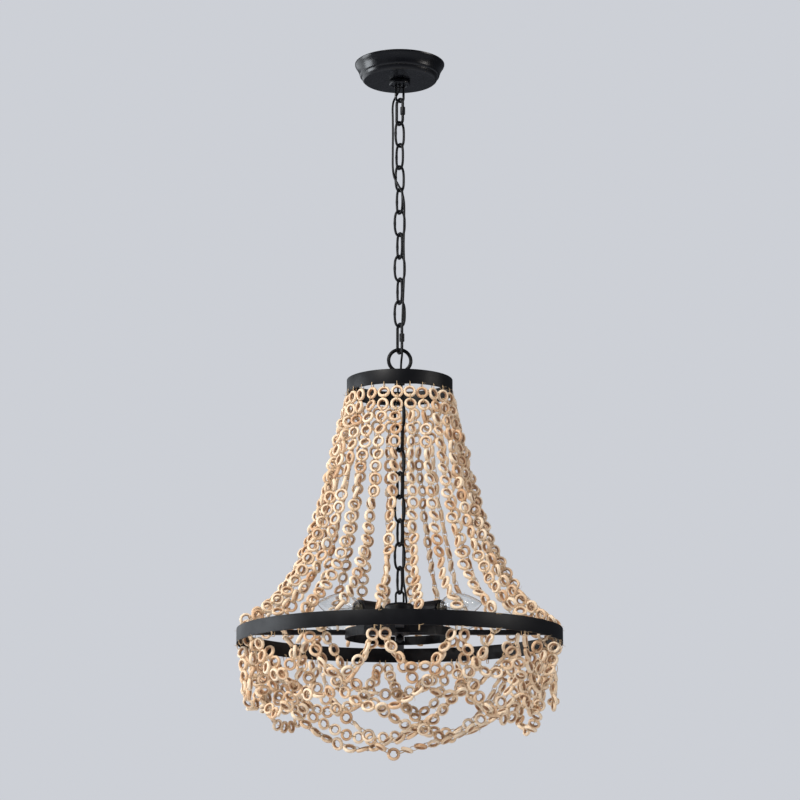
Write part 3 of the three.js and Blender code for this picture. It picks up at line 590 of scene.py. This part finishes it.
def makeChain():
    link = linkMesh()
    for i, yaw in enumerate(chain["yaws"]):
        piece = meshPiece(f"chainLink{i + 1}", link, matteBlack, 60, turnedTo(yaw, chainTop - i * pitch))
        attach(piece, f"link_{i + 1}")
        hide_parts(f"chain_link_{i + 1}")
    innerBottom = hubTop + hub["loopHeight"] - hub["loopWire"] / 2 - chain["wire"] - gap
    innerTop = innerBottom + (len(chain["innerYaws"]) - 1) * pitch + chain["length"] - chain["wire"]
    parts, nodes = [], []
    for i, yaw in enumerate(chain["innerYaws"]):
        parts.append(moved(link, turnedTo(yaw, innerTop - i * pitch)))
        nodes.append(f"inner_link_{i + 1}")
    piece = meshPiece("innerChain", joined(*parts), matteBlack, 60)
    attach(piece, "fixture")
    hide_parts(*nodes)


def sleeveMesh():
    # a short tube with six flats round its middle
    half, bore, radius = quick["sleeveLength"] / 2, quick["wire"] / 2 + gap, quick["sleeveRadius"]
    profile = [(bore, -half), (radius, -half), (radius, half), (bore, half), (bore, -half)]
    vertices, faces = turnedMesh(roundCorners(profile, 0.45, 3, True), 48)
    flattened = []
    for x, y, z in vertices:
        r = math.hypot(x, y)
        flat = radius * cos(pi / 6) / cos((math.atan2(y, x) % (pi / 3)) - pi / 6)
        limit = min(r, flat * quick["flatEase"]) if abs(z) < half - quick["shoulder"] else r
        keep = limit / r if r > bore + 0.2 else 1
        flattened.append((x * keep, y * keep, z))
    return flattened, faces


def makeQuickLinks():
    wire = quick["wire"]
    for name, top in (("upper", upperTop), ("lower", lowerTop)):
        size = quick[name]
        place = turnedTo(size["yaw"], top)
        oval = tubeMesh(ovalPath(quick["width"], size["length"], wire), wire / 2, 16, True, across)
        link = meshPiece(f"{name}QuickLink", oval, matteBlack, 60, place)
        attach(link, f"{name}_link")
        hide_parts(f"{name}_quick_link")
        at = Matrix.Translation(((quick["width"] - wire) / 2, 0, -(size["length"] - wire) / 2))
        sleeve = meshPiece(f"{name}Sleeve", sleeveMesh(), matteBlack, 30, place @ at)
        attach(sleeve, f"{name}_sleeve")
        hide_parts(f"{name}_link_sleeve")


# top loop, rings, hub and lamps

def makeTopLoop(steps=48):
    reach = (topLoop["diameter"] - topLoop["wire"]) / 2
    ring = [Vector((cos(turn) * reach, 0, sin(turn) * reach)) for turn in turns(steps)]
    hoop = moved(tubeMesh(ring, topLoop["wire"] / 2, 18, True, across), turnedTo(topLoop["yaw"], topLoopMiddle))
    profile = [(share * topLoop["neckRadius"], topRingTop + z) for share, z in topLoop["neck"]]
    neck = turnedMesh(roundCorners(profile, 0.5, 3), 40)
    piece = meshPiece("topLoop", joined(hoop, neck), matteBlack)
    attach(piece, "fixture")
    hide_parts("top_loop")


def bandProfile(diameter, height, top):
    outside, inside = diameter / 2, diameter / 2 - band["thickness"]
    return [(inside, top - height), (outside, top - height), (outside, top), (inside, top), (inside, top - height)]


def makeBands():
    for name, node, diameter, height, top in (
            ("topBand", "top_ring", band["top"], band["topHeight"], topRingTop),
            ("outerBand", "outer_ring", band["outer"], band["outerHeight"], outerRingTop)):
        piece = turnedPiece(name, bandProfile(diameter, height, top), matteBlack, 192, 0.45, True)
        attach(piece, "fixture")
        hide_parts(node)


def makeHub():
    radius, stem, edge = hub["radius"], hub["stem"], hub["edge"]
    bottom, rim = outerRingTop, outerRingTop + hub["stem"]
    profile = [(0, hubTop)] + [(radius - inset, hubTop - drop) for inset, drop in hub["shoulder"]]
    profile += [(radius, rim + edge), (radius - edge, rim), (stem, rim), (stem, bottom), (0, bottom)]
    piece = turnedPiece("hubCup", profile, matteBlack, 80, 0.8)
    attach(piece, "fixture")
    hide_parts("hub")
    staple = stapleMesh(hub["loopWidth"], hub["loopHeight"] - gap, hub["loopWire"])
    turnedOver = turnedTo(0, hubTop + gap) @ Matrix.Rotation(pi, 4, "X")
    foot = turnedMesh(roundCorners([(r, hubTop + z) for r, z in hub["foot"]], 0.4), 40)
    piece = meshPiece("hubLoop", joined(moved(staple, turnedOver), foot), matteBlack)
    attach(piece, "fixture")
    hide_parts("hub_loop")


lamp = {
    "drop": 13.4, "mouth": 78, "floor": 56,
    # radius, and distance out from the hub's middle
    "socket": [(0, 20.8), (5, 20.8), (5, 40), (9, 40), (12, 45), (12, 75), (12, 78), (8.9, 78), (8.9, 56), (0, 56)],
    # the cap from its foot up, one turn of its thread, and its top under the bulb's neck
    "capFoot": [(0, gap), (4, gap), (8.0, 3)], "thread": [(8.5, 4), (7.9, 5.1)], "threads": 6, "threadPitch": 2.2,
    "capTop": [(8.4, -3), (7.4, -2.4), (0, -2.2)],
    "bulbRadius": 17.5, "bulbLength": 72, "neck": 2, "wall": 0.7, "bulbNeck": [(8.2, -6), (8.6, -1)],
    # shares of the bulb's radius and of its length
    "outline": [(0.62, 0.055), (0.88, 0.18), (1, 0.36), (0.86, 0.58), (0.52, 0.8), (0.2, 0.95), (0, 1)],
    "wires": 4, "wireRadius": 0.16, "wireStart": 14, "wireLength": 34, "wireBulge": 5.2, "wireGap": 1.0,
    "wireTurn": 0.4, "wireTwist": 0.8, "stem": [(0, 0, -2), (0, 0, 6), (0.4, 0, 14.5)], "stemRadius": 0.5,
}


def smoothProfile(points, steps=6):
    result = []
    last = len(points) - 1
    for i in range(last):
        p0, p1, p2, p3 = (Vector(points[min(max(k, 0), last)]) for k in (i - 1, i, i + 1, i + 2))
        for s in range(steps):
            t = s / steps
            v = 0.5 * (2 * p1 + (p2 - p0) * t + (2 * p0 - 5 * p1 + 4 * p2 - p3) * t ** 2
                       + (3 * p1 - p0 - 3 * p2 + p3) * t ** 3)
            result.append((max(v.x, 0), v.y))
    result.append(tuple(points[-1]))
    return result


def bulbMesh(shoulder):
    r, length, wall = lamp["bulbRadius"], lamp["bulbLength"], lamp["wall"]
    outline = [(x, shoulder + y) for x, y in lamp["bulbNeck"]]
    outer = smoothProfile(outline + [(r * width, shoulder + length * far) for width, far in lamp["outline"]])
    inner = [(max(x - wall, 0), y if x > 1 else y - wall) for x, y in outer[:-1]]
    shell = outer[::-1] + inner + [(0, outer[-1][1] - wall * 1.4)]
    return turnedMesh(shell + [shell[0]], 48)


def wiresMesh(shoulder, steps=8):
    wires = []
    for k in range(lamp["wires"]):
        way = []
        for t in range(steps + 1):
            f = t / steps
            spread = lamp["wireBulge"] * sin(f * pi) + lamp["wireGap"]
            a = pi / 2 * k + lamp["wireTurn"] + f * lamp["wireTwist"]
            height = shoulder + lamp["wireStart"] + f * lamp["wireLength"]
            way.append((cos(a) * spread, sin(a) * spread, height))
        wires.append(tubeMesh(way, lamp["wireRadius"], 6))
    stem = [(x, y, shoulder + z) for x, y, z in lamp["stem"]]
    return joined(*wires, tubeMesh(stem, lamp["stemRadius"], 6))


def makeBulbs():
    s = lamp
    start, shoulder = s["floor"], s["mouth"] + s["neck"]
    base = [(r, start + z) for r, z in s["capFoot"]]
    for k in range(s["threads"]):
        base += [(r, start + z + k * s["threadPitch"]) for r, z in s["thread"]]
    base += [(r, shoulder + z) for r, z in s["capTop"]]
    for i in range(4):
        place = turnedTo(45 + 90 * i, hubTop - s["drop"]) @ Matrix.Rotation(pi / 2, 4, "X")
        socket = turnedPiece(f"socketCup{i + 1}", s["socket"], matteBlack, 56, 0.6, False, place)
        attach(socket, "fixture")
        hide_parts(f"socket_{i + 1}")
        envelope = meshPiece(f"bulbGlass{i + 1}", bulbMesh(shoulder), clearGlass, 60, place)
        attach(envelope, f"lamp_{i + 1}")
        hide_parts(f"bulb_{i + 1}")
        cap = turnedPiece(f"bulbCap{i + 1}", base, lampCap, 40, 0, False, place, 50)
        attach(cap, f"lamp_{i + 1}")
        glow = meshPiece(f"bulbWires{i + 1}", wiresMesh(shoulder), filamentWire, 60, place)
        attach(glow, f"lamp_{i + 1}")


def dressCadNodes():
    # the solids that are shown as they are
    for finish, nodes in (
            (zincPlate, ("ceiling_bracket", "bracket_screw_1", "bracket_screw_2", "threaded_nipple")),
            (matteBlack, ("top_crossbar", "chain_eye", "spokes", "inner_ring", "finial"))):
        for node in nodes:
            materials = bpy.data.objects[node].data.materials
            materials.clear()
            materials.append(finish)


# wood rings: where each one hangs

strands = {
    "count": 26, "start": -7.35, "twist": 4.4, "rings": 20, "lead": 11, "first": 0.3, "wander": 0.36,
    "flips": 0.2, "topWander": 0.35,
    # share of the way down, and share of the way out from the small ring to the large one
    "flare": [(0, 0), (0.11, 0.05), (0.24, 0.108), (0.368, 0.173), (0.497, 0.255), (0.623, 0.347), (0.749, 0.468),
              (0.85, 0.61), (0.9, 0.722), (0.948, 0.848), (1, 1)],
}
swags = {
    "ties": 13, "pitch": 17.9, "lead": 9.8, "thread": 1.6, "first": 0.3, "wander": 0.3, "flips": 0.28,
    "basketFlips": 0.22,
    "basketInset": 9, "basketLift": 13, "basketSag": 172, "bend": 7, "bendReach": 24,
    # first tie, ties spanned, share of the sag, and bends: where along the row, share of a bend
    "baskets": [(10.21, 4.41, 0.93, [(0.17, 0.9), (0.36, -0.1)]), (11.51, 4.2, 0.91, [(-0.17, -1.9)]),
                (12.17, 4.46, 0.83, [(-0.36, 0.2), (-0.17, 0.8)]), (5.47, 4.04, 0.76, [])],
}
looseness = {"through": 0.9, "aside": 1.1, "tilt": 0.32}
bandMiddle = {"top": (band["top"] - band["thickness"]) / 2, "outer": (band["outer"] - band["thickness"]) / 2}
insideThread = band["outer"] / 2 - band["thickness"] - gap - swags["thread"] / 2
tieStep = 360 / swags["ties"]
layers = {
    # where its rows are tied, half of the room between two rows, ties spanned, sag, and each row's share of it
    "outer": {"radius": bandMiddle["outer"] - 7, "z": outerRingBottom - gap - swags["thread"] / 2, "half": 5,
              "ties": 1, "sag": 80, "shares": [0.64, 0.7, 0.86, 1, 0.92, 0.84, 0.9, 0.86, 0.94, 1, 0.9, 0.68, 0.7]},
    "inner": {"radius": insideThread - 17, "z": outerRingBottom - 12, "half": 6, "ties": 2,
              "sag": 92, "shares": [0.76, 1.06, 0.89, 1.07, 0.74, 1, 0.41, 0.7, 1, 0.82, 0.94, 0.76, 0.97]},
}


def throughPoints(points, steps=24):
    # centripetal curve through the points, as the solid model's strands and cord follow it
    full = [points[0] * 2 - points[1]] + points + [points[-1] * 2 - points[-2]]
    line = []
    for i in range(1, len(full) - 2):
        p = full[i - 1:i + 3]
        d = [max((p[k + 1] - p[k]).length ** 0.5, 1e-4) for k in range(3)]
        t1 = ((p[1] - p[0]) / d[0] - (p[2] - p[0]) / (d[0] + d[1]) + (p[2] - p[1]) / d[1]) * d[1]
        t2 = ((p[2] - p[1]) / d[1] - (p[3] - p[1]) / (d[1] + d[2]) + (p[3] - p[2]) / d[2]) * d[1]
        for s in range(steps):
            t = s / steps
            line.append(p[1] + t1 * t + (p[2] * 3 - p[1] * 3 - t1 * 2 - t2) * t * t
                        + (p[1] * 2 - p[2] * 2 + t1 + t2) * t ** 3)
    line.append(points[-1].copy())
    return line


def evenly(line, distances):
    lengths = [0]
    for a, b in zip(line, line[1:]):
        lengths.append(lengths[-1] + (b - a).length)
    result, k = [], 0
    for distance in distances:
        while k < len(line) - 2 and lengths[k + 1] < distance:
            k += 1
        t = (distance - lengths[k]) / max(lengths[k + 1] - lengths[k], 1e-9)
        result.append((line[k].lerp(line[k + 1], t), (line[k + 1] - line[k]).normalized()))
    return result, lengths[-1]


def ringSeat(at, along, side, angle):
    # gives a ring's middle, the way its row runs there, and the line that its hole looks along
    other = along.cross(side).normalized()
    face = (side * cos(angle) + other * sin(angle)).normalized()
    through, aside, tilt = (wobble.uniform(-most, most) for most in looseness.values())
    return at + face * through + face.cross(along) * aside, along, (face + along * tilt).normalized()


dice, wobble = random.Random(41), random.Random(17)


def leansOf(count, first, wander, flips):
    # how far each ring of a row is turned: most lie as the one before, and a few are a quarter off
    lean, leans = first, []
    for _ in range(count):
        lean += dice.uniform(-wander, wander) + (pi / 2 if dice.random() < flips else 0)
        leans.append(lean)
    return leans


def strandRows():
    rows = []
    s = strands
    topZ = topRingBottom - gap - swags["thread"] / 2
    bottomZ = outerRingTop + gap + swags["thread"] / 2
    for index in range(s["count"]):
        angle = s["start"] + index * 360 / s["count"]
        points = [onRing(bandMiddle["top"] + out * (bandMiddle["outer"] - bandMiddle["top"]),
                         angle + s["twist"] * (1 - share), topZ + share * (bottomZ - topZ))
                  for share, out in s["flare"]]
        line = throughPoints(points)
        length = evenly(line, [0])[1]
        places = [s["lead"] + i / (s["rings"] - 1) * (length - 2 * s["lead"]) for i in range(s["rings"])]
        spots, _ = evenly(line, places)
        first = dice.choice((0, pi / 2)) + dice.uniform(-s["first"], s["first"])
        leans = leansOf(len(spots), first, s["wander"], s["flips"])
        leans[:2] = leansOf(2, pi / 2, s["topWander"], 0)
        rows.append([ringSeat(at, along, sideways(angle), lean) for (at, along), lean in zip(spots, leans)])
    return rows


def catenaryOf(halfSpan, sag):
    low, high = halfSpan / 10, halfSpan * 100
    for _ in range(60):
        middle = math.sqrt(low * high)
        if middle * (math.cosh(halfSpan / middle) - 1) > sag:
            low = middle
        else:
            high = middle
    return high


def swagRow(start, end, sag, flips, bends=()):
    span = end - start
    halfSpan = span.length / 2
    towards = span.normalized()
    side = towards.cross(up).normalized()
    a = catenaryOf(halfSpan, sag)
    halfLength = a * math.sinh(halfSpan / a)
    count = round(2 * (halfLength - swags["lead"]) / swags["pitch"]) + 1
    middle = (start + end) / 2
    row, leans = [], leansOf(count, dice.uniform(-swags["first"], swags["first"]), swags["wander"], flips)
    for i in range(count):
        s = (halfLength - swags["lead"]) * (2 * i / (count - 1) - 1)
        x = a * math.asinh(s / a)
        at = middle + towards * x + up * (a * math.cosh(x / a) - a * math.cosh(halfSpan / a))
        for where, share in bends:
            at += up * (share * swags["bend"] * math.exp(-((x - where * halfSpan) / swags["bendReach"]) ** 2))
        row.append(ringSeat(at, (towards + up * (s / a)).normalized(), side, leans[i]))
    return row


def layerRows(layer):
    rows = []
    for tie, share in enumerate(layer["shares"]):
        angle = strands["start"] + tie * tieStep
        far = angle + layer["ties"] * tieStep
        start = onRing(layer["radius"], angle, layer["z"]) + sideways(angle) * layer["half"]
        end = onRing(layer["radius"], far, layer["z"]) - sideways(far) * layer["half"]
        rows.append(swagRow(start, end, layer["sag"] * share, swags["flips"]))
    return rows


def basketRows():
    rows = []
    radius, z = insideThread - swags["basketInset"], outerRingBottom + swags["basketLift"]
    for first, span, share, bends in swags["baskets"]:
        angle = strands["start"] + first * tieStep
        start, end = onRing(radius, angle, z), onRing(radius, angle + span * tieStep, z)
        rows.append(swagRow(start, end, swags["basketSag"] * share, swags["basketFlips"], bends))
    return rows


# wood rings and thread, copied to their places by Geometry Nodes

def ringShape(segments=14, sides=7, bulge=0.86):
    # a round rim, a little taller than it is wide
    outside, hole, thickness = (ringSize[key] / 2 for key in ("outside", "hole", "thickness"))
    middle, reach = (outside + hole) / 2, (outside - hole) / 2
    vertices = []
    for turn in turns(segments):
        for j in range(sides):
            lean = 2 * pi * (j + 0.5) / sides
            r = middle + reach * squared(cos(lean), bulge)
            vertices.append((r * cos(turn), r * sin(turn), thickness * squared(sin(lean), bulge)))
    piece = meshPiece("ringShape", (vertices, tubeFaces(segments, sides, True)), paleWood, 80)
    keep = piece.data.attributes.new("local", "FLOAT_VECTOR", "POINT")
    for i, v in enumerate(piece.data.vertices):
        keep.data[i].vector = v.co
    return piece


tieLoop = {"halfLength": 5.3, "halfWidth": 3.0, "slant": 0.5, "roundness": 0.6, "radius": 0.38, "turnPoints": 9}


def loopShape():
    # two turns of thread, long enough to reach from hole to hole of two rings
    path = []
    for i in range(2 * tieLoop["turnPoints"]):
        turn = 2 * pi * i / tieLoop["turnPoints"]
        x, z = (squared(v, tieLoop["roundness"]) for v in (cos(turn), sin(turn)))
        path.append(Vector((x * tieLoop["halfLength"], tieLoop["slant"] * sin(turn / 2),
                            z * tieLoop["halfWidth"])))
    return meshPiece("loopShape", tubeMesh(path, tieLoop["radius"], 4, True, across), flaxThread, 80)


def tailShape():
    # a knot with a loose end that thins out
    path = [(0, 0, 0), (0.6, 0.2, 2), (2.0, 0.5, 4.2), (3.6, 0.4, 6), (5.4, -0.2, 7)]
    end = tubeMesh(path, [0.32, 0.3, 0.28, 0.24, 0.15], 5)
    knot = turnedMesh([(0, 0.9), (0.6, 0.6), (0.85, 0), (0.6, -0.6), (0, -0.9)], 7)
    return meshPiece("tailShape", joined(end, knot), flaxThread, 80)


def copyTree(name):
    tree = bpy.data.node_groups.new(name, "GeometryNodeTree")
    for label, kind in (("Geometry", "Geometry"), ("Shape", "Object"), ("Finish", "Material"),
                        ("Smallest", "Float"), ("Largest", "Float"), ("Seed", "Int")):
        tree.interface.new_socket(label, in_out="INPUT", socket_type="NodeSocket" + kind)
    tree.interface.new_socket("Geometry", in_out="OUTPUT", socket_type="NodeSocketGeometry")
    graph = Graph(tree, "")
    given = graph.add("NodeGroupInput").outputs
    shape = graph.add("GeometryNodeObjectInfo", {"Object": given["Shape"]}, transform_space="ORIGINAL")
    turn = graph.add("GeometryNodeInputNamedAttribute", {"Name": "turn"}, data_type="FLOAT_VECTOR")
    spin = graph.add("FunctionNodeEulerToRotation", {"Euler": turn.outputs["Attribute"]})
    size = graph.add("FunctionNodeRandomValue", {
        2: given["Smallest"], 3: given["Largest"], "Seed": given["Seed"]}, data_type="FLOAT")
    copies = graph.add("GeometryNodeInstanceOnPoints", {
        "Points": given["Geometry"], "Instance": shape.outputs["Geometry"],
        "Rotation": spin, "Scale": size.outputs[1]})
    for label, seed in (("tint", 11), ("seat", 23)):
        value = graph.add("FunctionNodeRandomValue", {"Seed": seed}, data_type="FLOAT")
        copies = graph.add("GeometryNodeStoreNamedAttribute", {
            "Geometry": copies, "Name": label, "Value": value.outputs[1]}, data_type="FLOAT", domain="INSTANCE")
    real = graph.add("GeometryNodeRealizeInstances", {"Geometry": copies})
    dressed = graph.add("GeometryNodeSetMaterial", {"Geometry": real, "Material": given["Finish"]})
    graph.add("NodeGroupOutput", {"Geometry": dressed})
    return tree


placeCopies = copyTree("placeCopies")


def copiesAt(name, seats, shape, finish, seed, spread=(0.96, 1.03)):
    mesh = bpy.data.meshes.new(name)
    mesh.from_pydata([seat.translation * mm for seat in seats], [], [])
    turn = mesh.attributes.new("turn", "FLOAT_VECTOR", "POINT")
    for i, seat in enumerate(seats):
        turn.data[i].vector = seat.to_euler("XYZ")
    carrier = shown(name, mesh)
    modifier = carrier.modifiers.new("copies", "NODES")
    modifier.node_group = placeCopies
    given = {"Shape": shape, "Finish": finish, "Seed": seed, "Smallest": spread[0], "Largest": spread[1]}
    for item in placeCopies.interface.items_tree:
        if item.name in given:
            modifier[item.identifier] = given[item.name]
    bpy.context.view_layer.update()
    ready = carrier.evaluated_get(bpy.context.evaluated_depsgraph_get())
    finished = bpy.data.meshes.new_from_object(ready)
    carrier.modifiers.clear()
    carrier.data = finished
    if not finished.materials:
        finished.materials.append(finish)
    return carrier


def seatMatrix(at, x, z):
    y = z.cross(x).normalized()
    x = y.cross(z).normalized()
    place = Matrix((x, y, z)).transposed().to_4x4()
    place.translation = at
    return place


def ringSeats(rows):
    return [seatMatrix(*ring) for row in rows for ring in row]


def tieSeats(rows):
    seats = []
    for row in rows:
        for (start, _, first), (end, _, second) in zip(row, row[1:]):
            along = (end - start).normalized()
            face = first + second if first.dot(second) > -0.2 else first - second
            face = (face - along * face.dot(along)).normalized()
            seats.append(seatMatrix((start + end) / 2, along, face))
    return seats


woodGroups = [
    # piece, its rows, the solids it stands for, seed of its sizes and tints
    ("strandRings", strandRows, [f"ring_strands_{i}" for i in range(1, 8)], 5),
    ("outerSwagRings", lambda: layerRows(layers["outer"]), ["outer_garland"], 6),
    ("innerSwagRings", lambda: layerRows(layers["inner"]), ["inner_garland"], 7),
    ("basketRings", basketRows, [f"basket_strand_{i}" for i in range(1, 5)], 8),
]
tieSetup = {
    "seedStep": 20, "knotShare": 0.14, "knotOut": 3,
    # at the small top ring and on the large ring
    "rise": 1.2, "edgeKnotShare": 0.3, "edgeOut": 2.0, "edgeShift": 1, "edgeTurn": 60,
    # under the large ring
    "inset": 2, "drop": 1.5, "apart": 4, "knotRise": 1.5, "knotTurn": 80, "knotLean": (-0.6, 0.2),
    "edgeSeed": 31, "tailSeed": 32, "sizes": (0.94, 1.06), "edgeSizes": (0.8, 0.9), "tailSizes": (0.45, 0.9),
}


def edgeTies(knots):
    # ties under the two bands that rows hang on, and the knots beside them
    s = tieSetup
    edge, rise, turn = [], s["rise"], s["knotTurn"]
    for index in range(strands["count"]):
        low = strands["start"] + index * 360 / strands["count"]
        high = low + strands["twist"]
        for angle, radius, z, sign in ((high, bandMiddle["top"], topRingBottom, -1),
                                       (low, bandMiddle["outer"], outerRingTop, 1)):
            if sign < 0:
                edge.append(seatMatrix(onRing(radius, angle, z + sign * rise), up, outward(angle)))
            if dice.random() < s["edgeKnotShare"]:
                beside = angle + dice.uniform(-s["edgeShift"], s["edgeShift"])
                knots.append(seatMatrix(onRing(radius + s["edgeOut"], beside, z - sign * rise),
                                        outward(angle + dice.uniform(-s["edgeTurn"], s["edgeTurn"])),
                                        sideways(angle)))
    for tie in range(swags["ties"] * 2):
        angle = strands["start"] + tie * tieStep / 2
        for shift in (0,) if tie % 2 else (-s["apart"], s["apart"]):
            at = onRing(bandMiddle["outer"] - s["inset"], angle, outerRingBottom - s["drop"])
            at += sideways(angle) * shift
            edge.append(seatMatrix(at, up, outward(angle)))
            knots.append(seatMatrix(at + outward(angle) * s["knotOut"] + up * s["knotRise"],
                                    outward(angle + dice.uniform(-turn, turn)) + up * dice.uniform(*s["knotLean"]),
                                    sideways(angle)))
    return edge


def makeWoodRows():
    ring, loopPiece, tail, knots = ringShape(), loopShape(), tailShape(), []
    groups = [(name, hang(), nodes, seed) for name, hang, nodes, seed in woodGroups]
    for name, rows, nodes, seed in groups:
        piece = copiesAt(name, ringSeats(rows), ring, paleWood, seed)
        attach(piece, "fixture")
        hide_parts(*nodes)
        joins = tieSeats(rows)
        ties = copiesAt(name + "Ties", joins, loopPiece, flaxThread, seed + tieSetup["seedStep"], tieSetup["sizes"])
        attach(ties, "fixture")
        for seat in joins:
            if wobble.random() < tieSetup["knotShare"]:
                knots.append(seat @ Matrix.Translation((0, 0, tieSetup["knotOut"]))
                             @ Matrix.Rotation(wobble.uniform(0, 6), 4, "Z"))
    edge = edgeTies(knots)
    edges = copiesAt("edgeTies", edge, loopPiece, flaxThread, tieSetup["edgeSeed"], tieSetup["edgeSizes"])
    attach(edges, "fixture")
    tails = copiesAt("threadTails", knots, tail, flaxThread, tieSetup["tailSeed"], tieSetup["tailSizes"])
    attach(tails, "fixture")
    for source in (ring, loopPiece, tail):
        bpy.data.objects.remove(source)


# power cord, cut into lengths, one around each joint between links

cord = {
    "diameter": 3, "sides": 12,
    "route": [
        (0, 0, -12), (0, 0, -28), (0, 0.5, -34), (-2, 4, -40), (-5.5, 6.5, -46), (-8.8, 5, -54), (-10, 2, -64),
        (-9.8, -0.5, -80), (-9.6, -0.5, -105), (-9.8, 0, -130), (-9.6, -2, -155), (-7.5, -7, -170),
        (-2.5, -10.2, -181), (3, -10, -192), (6, -8.4, -206), (6.2, -8.6, -235), (5.6, -9, -270),
        (6.2, -8.4, -305), (5.2, -9, -335), (4.4, -9.6, -355), (3.8, -10.8, -374), (3.2, -11.5, -390),
        (3, -11.4, -404), (3.3, -10.2, -416), (3.2, -6.5, -425.5), (2.2, -1, -433.5), (1.7, 6, -442.5),
        (2, 10.6, -456), (2.8, 11, -470), (4.4, 9.8, -490), (5, 9.4, -520), (4.4, 9.8, -560), (5, 9.4, -600),
        (4.4, 9.8, -640), (5, 9.4, -680), (4.6, 9.7, -715), (5.4, 9.4, -740), (8, 7.4, -756),
        (9.225, 6.15, -768), (9.225, 6.15, -776.1),
    ],
}


def makeCord():
    line = throughPoints([Vector(p) for p in cord["route"]], 14)
    names = ["mounting", "upper_link"] + [f"link_{i}" for i in range(1, 10)] + ["lower_link", "fixture"]
    joints = [loopBottom, upperBottom]
    joints += [chainTop - i * pitch - (chain["length"] - chain["wire"]) for i in range(9)]
    joints += [lowerBottom]
    sides = cord["sides"]
    middles = [(a + b) / 2 for a, b in zip(joints, joints[1:])]
    stops = [0] + [next(i for i, p in enumerate(line) if p.z < z) - 1 for z in middles] + [len(line) - 1]
    vertices, _ = tubeMesh(line, cord["diameter"] / 2, sides, False, (1, 0, 0))
    for k, joint in enumerate(joints):
        count = stops[k + 1] - stops[k] + 1
        part = vertices[stops[k] * sides:(stops[k + 1] + 1) * sides]
        faces = tubeFaces(count, sides, False, k == 0, k == len(joints) - 1)
        piece = meshPiece(f"powerCord{k + 1}", (part, faces), blackCord, 80)
        names[k + 1]
        (joint + 5) * mm
        (joint - 5) * mm
        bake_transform(piece)
        if k == 0:
            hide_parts("power_cord")


# world and floor

def makeWorld():
    s = stageSetup
    world = bpy.data.worlds.new("studio")
    bpy.context.scene.world = world
    world.use_nodes = True
    world.node_tree.nodes.clear()
    graph = Graph(world.node_tree)
    path = graph.add("LightPath").outputs
    seen = graph.maths("MAXIMUM", path["Is Camera Ray"], path["Is Transmission Ray"])
    view = graph.add("Background", {"Color": (*s["backdrop"], 1), "Strength": 1.0})
    # the fill is weaker from below, and weaker still in reflections
    looks = graph.add("SeparateXYZ", {"Vector": graph.add("TexCoord").outputs["Generated"]})
    high = Signal(graph, looks.outputs["Z"]).between(-0.5, 0.35)
    low, top = s["lowFillStrength"], s["fillStrength"]
    glossy = 1 - Signal(graph, path["Is Glossy Ray"]) * (1 - s["glossShare"])
    soft = graph.add("Background", {"Color": (*s["fill"], 1), "Strength": (high * (top - low) + low) * glossy})
    graph.add("OutputWorld", {"Surface": graph.add("MixShader", {0: seen, 1: soft, 2: view})})


def floorLook(graph):
    light = stageSetup["floorColour"]
    shade = graph.noise(objectCoords(graph), 1.5, 2)
    return {"Base Color": graph.mixColour(shade, light, tuple(v * 0.97 for v in light))}


def makeFloor():
    half, z = stageSetup["floorSize"] / 2, -stageSetup["floorDrop"]
    corners = [(-half, -half, z), (half, -half, z), (half, half, z), (-half, half, z)]
    mesh = bpy.data.meshes.new("floor")
    mesh.from_pydata(corners, [], [(0, 1, 2, 3)])
    mesh.materials.append(newFinish("floorPaint", floorLook, {"Roughness": 0.9}))
    floor = shown("floor", mesh)


makeCamera()
makeCord()
print("cord laid")
makeLamps()
makeWorld()
makeFloor()
makeCanopy()
makeCollar()
makeCanopyLoop()
makeChain()
makeQuickLinks()
print("canopy and chain made")
makeTopLoop()
makeBands()
makeHub()
makeBulbs()
dressCadNodes()
print("rings, hub and lamps made")
makeWoodRows()
print("wood rings hung")

scene = bpy.context.scene
scene.view_settings.view_transform = "Standard"
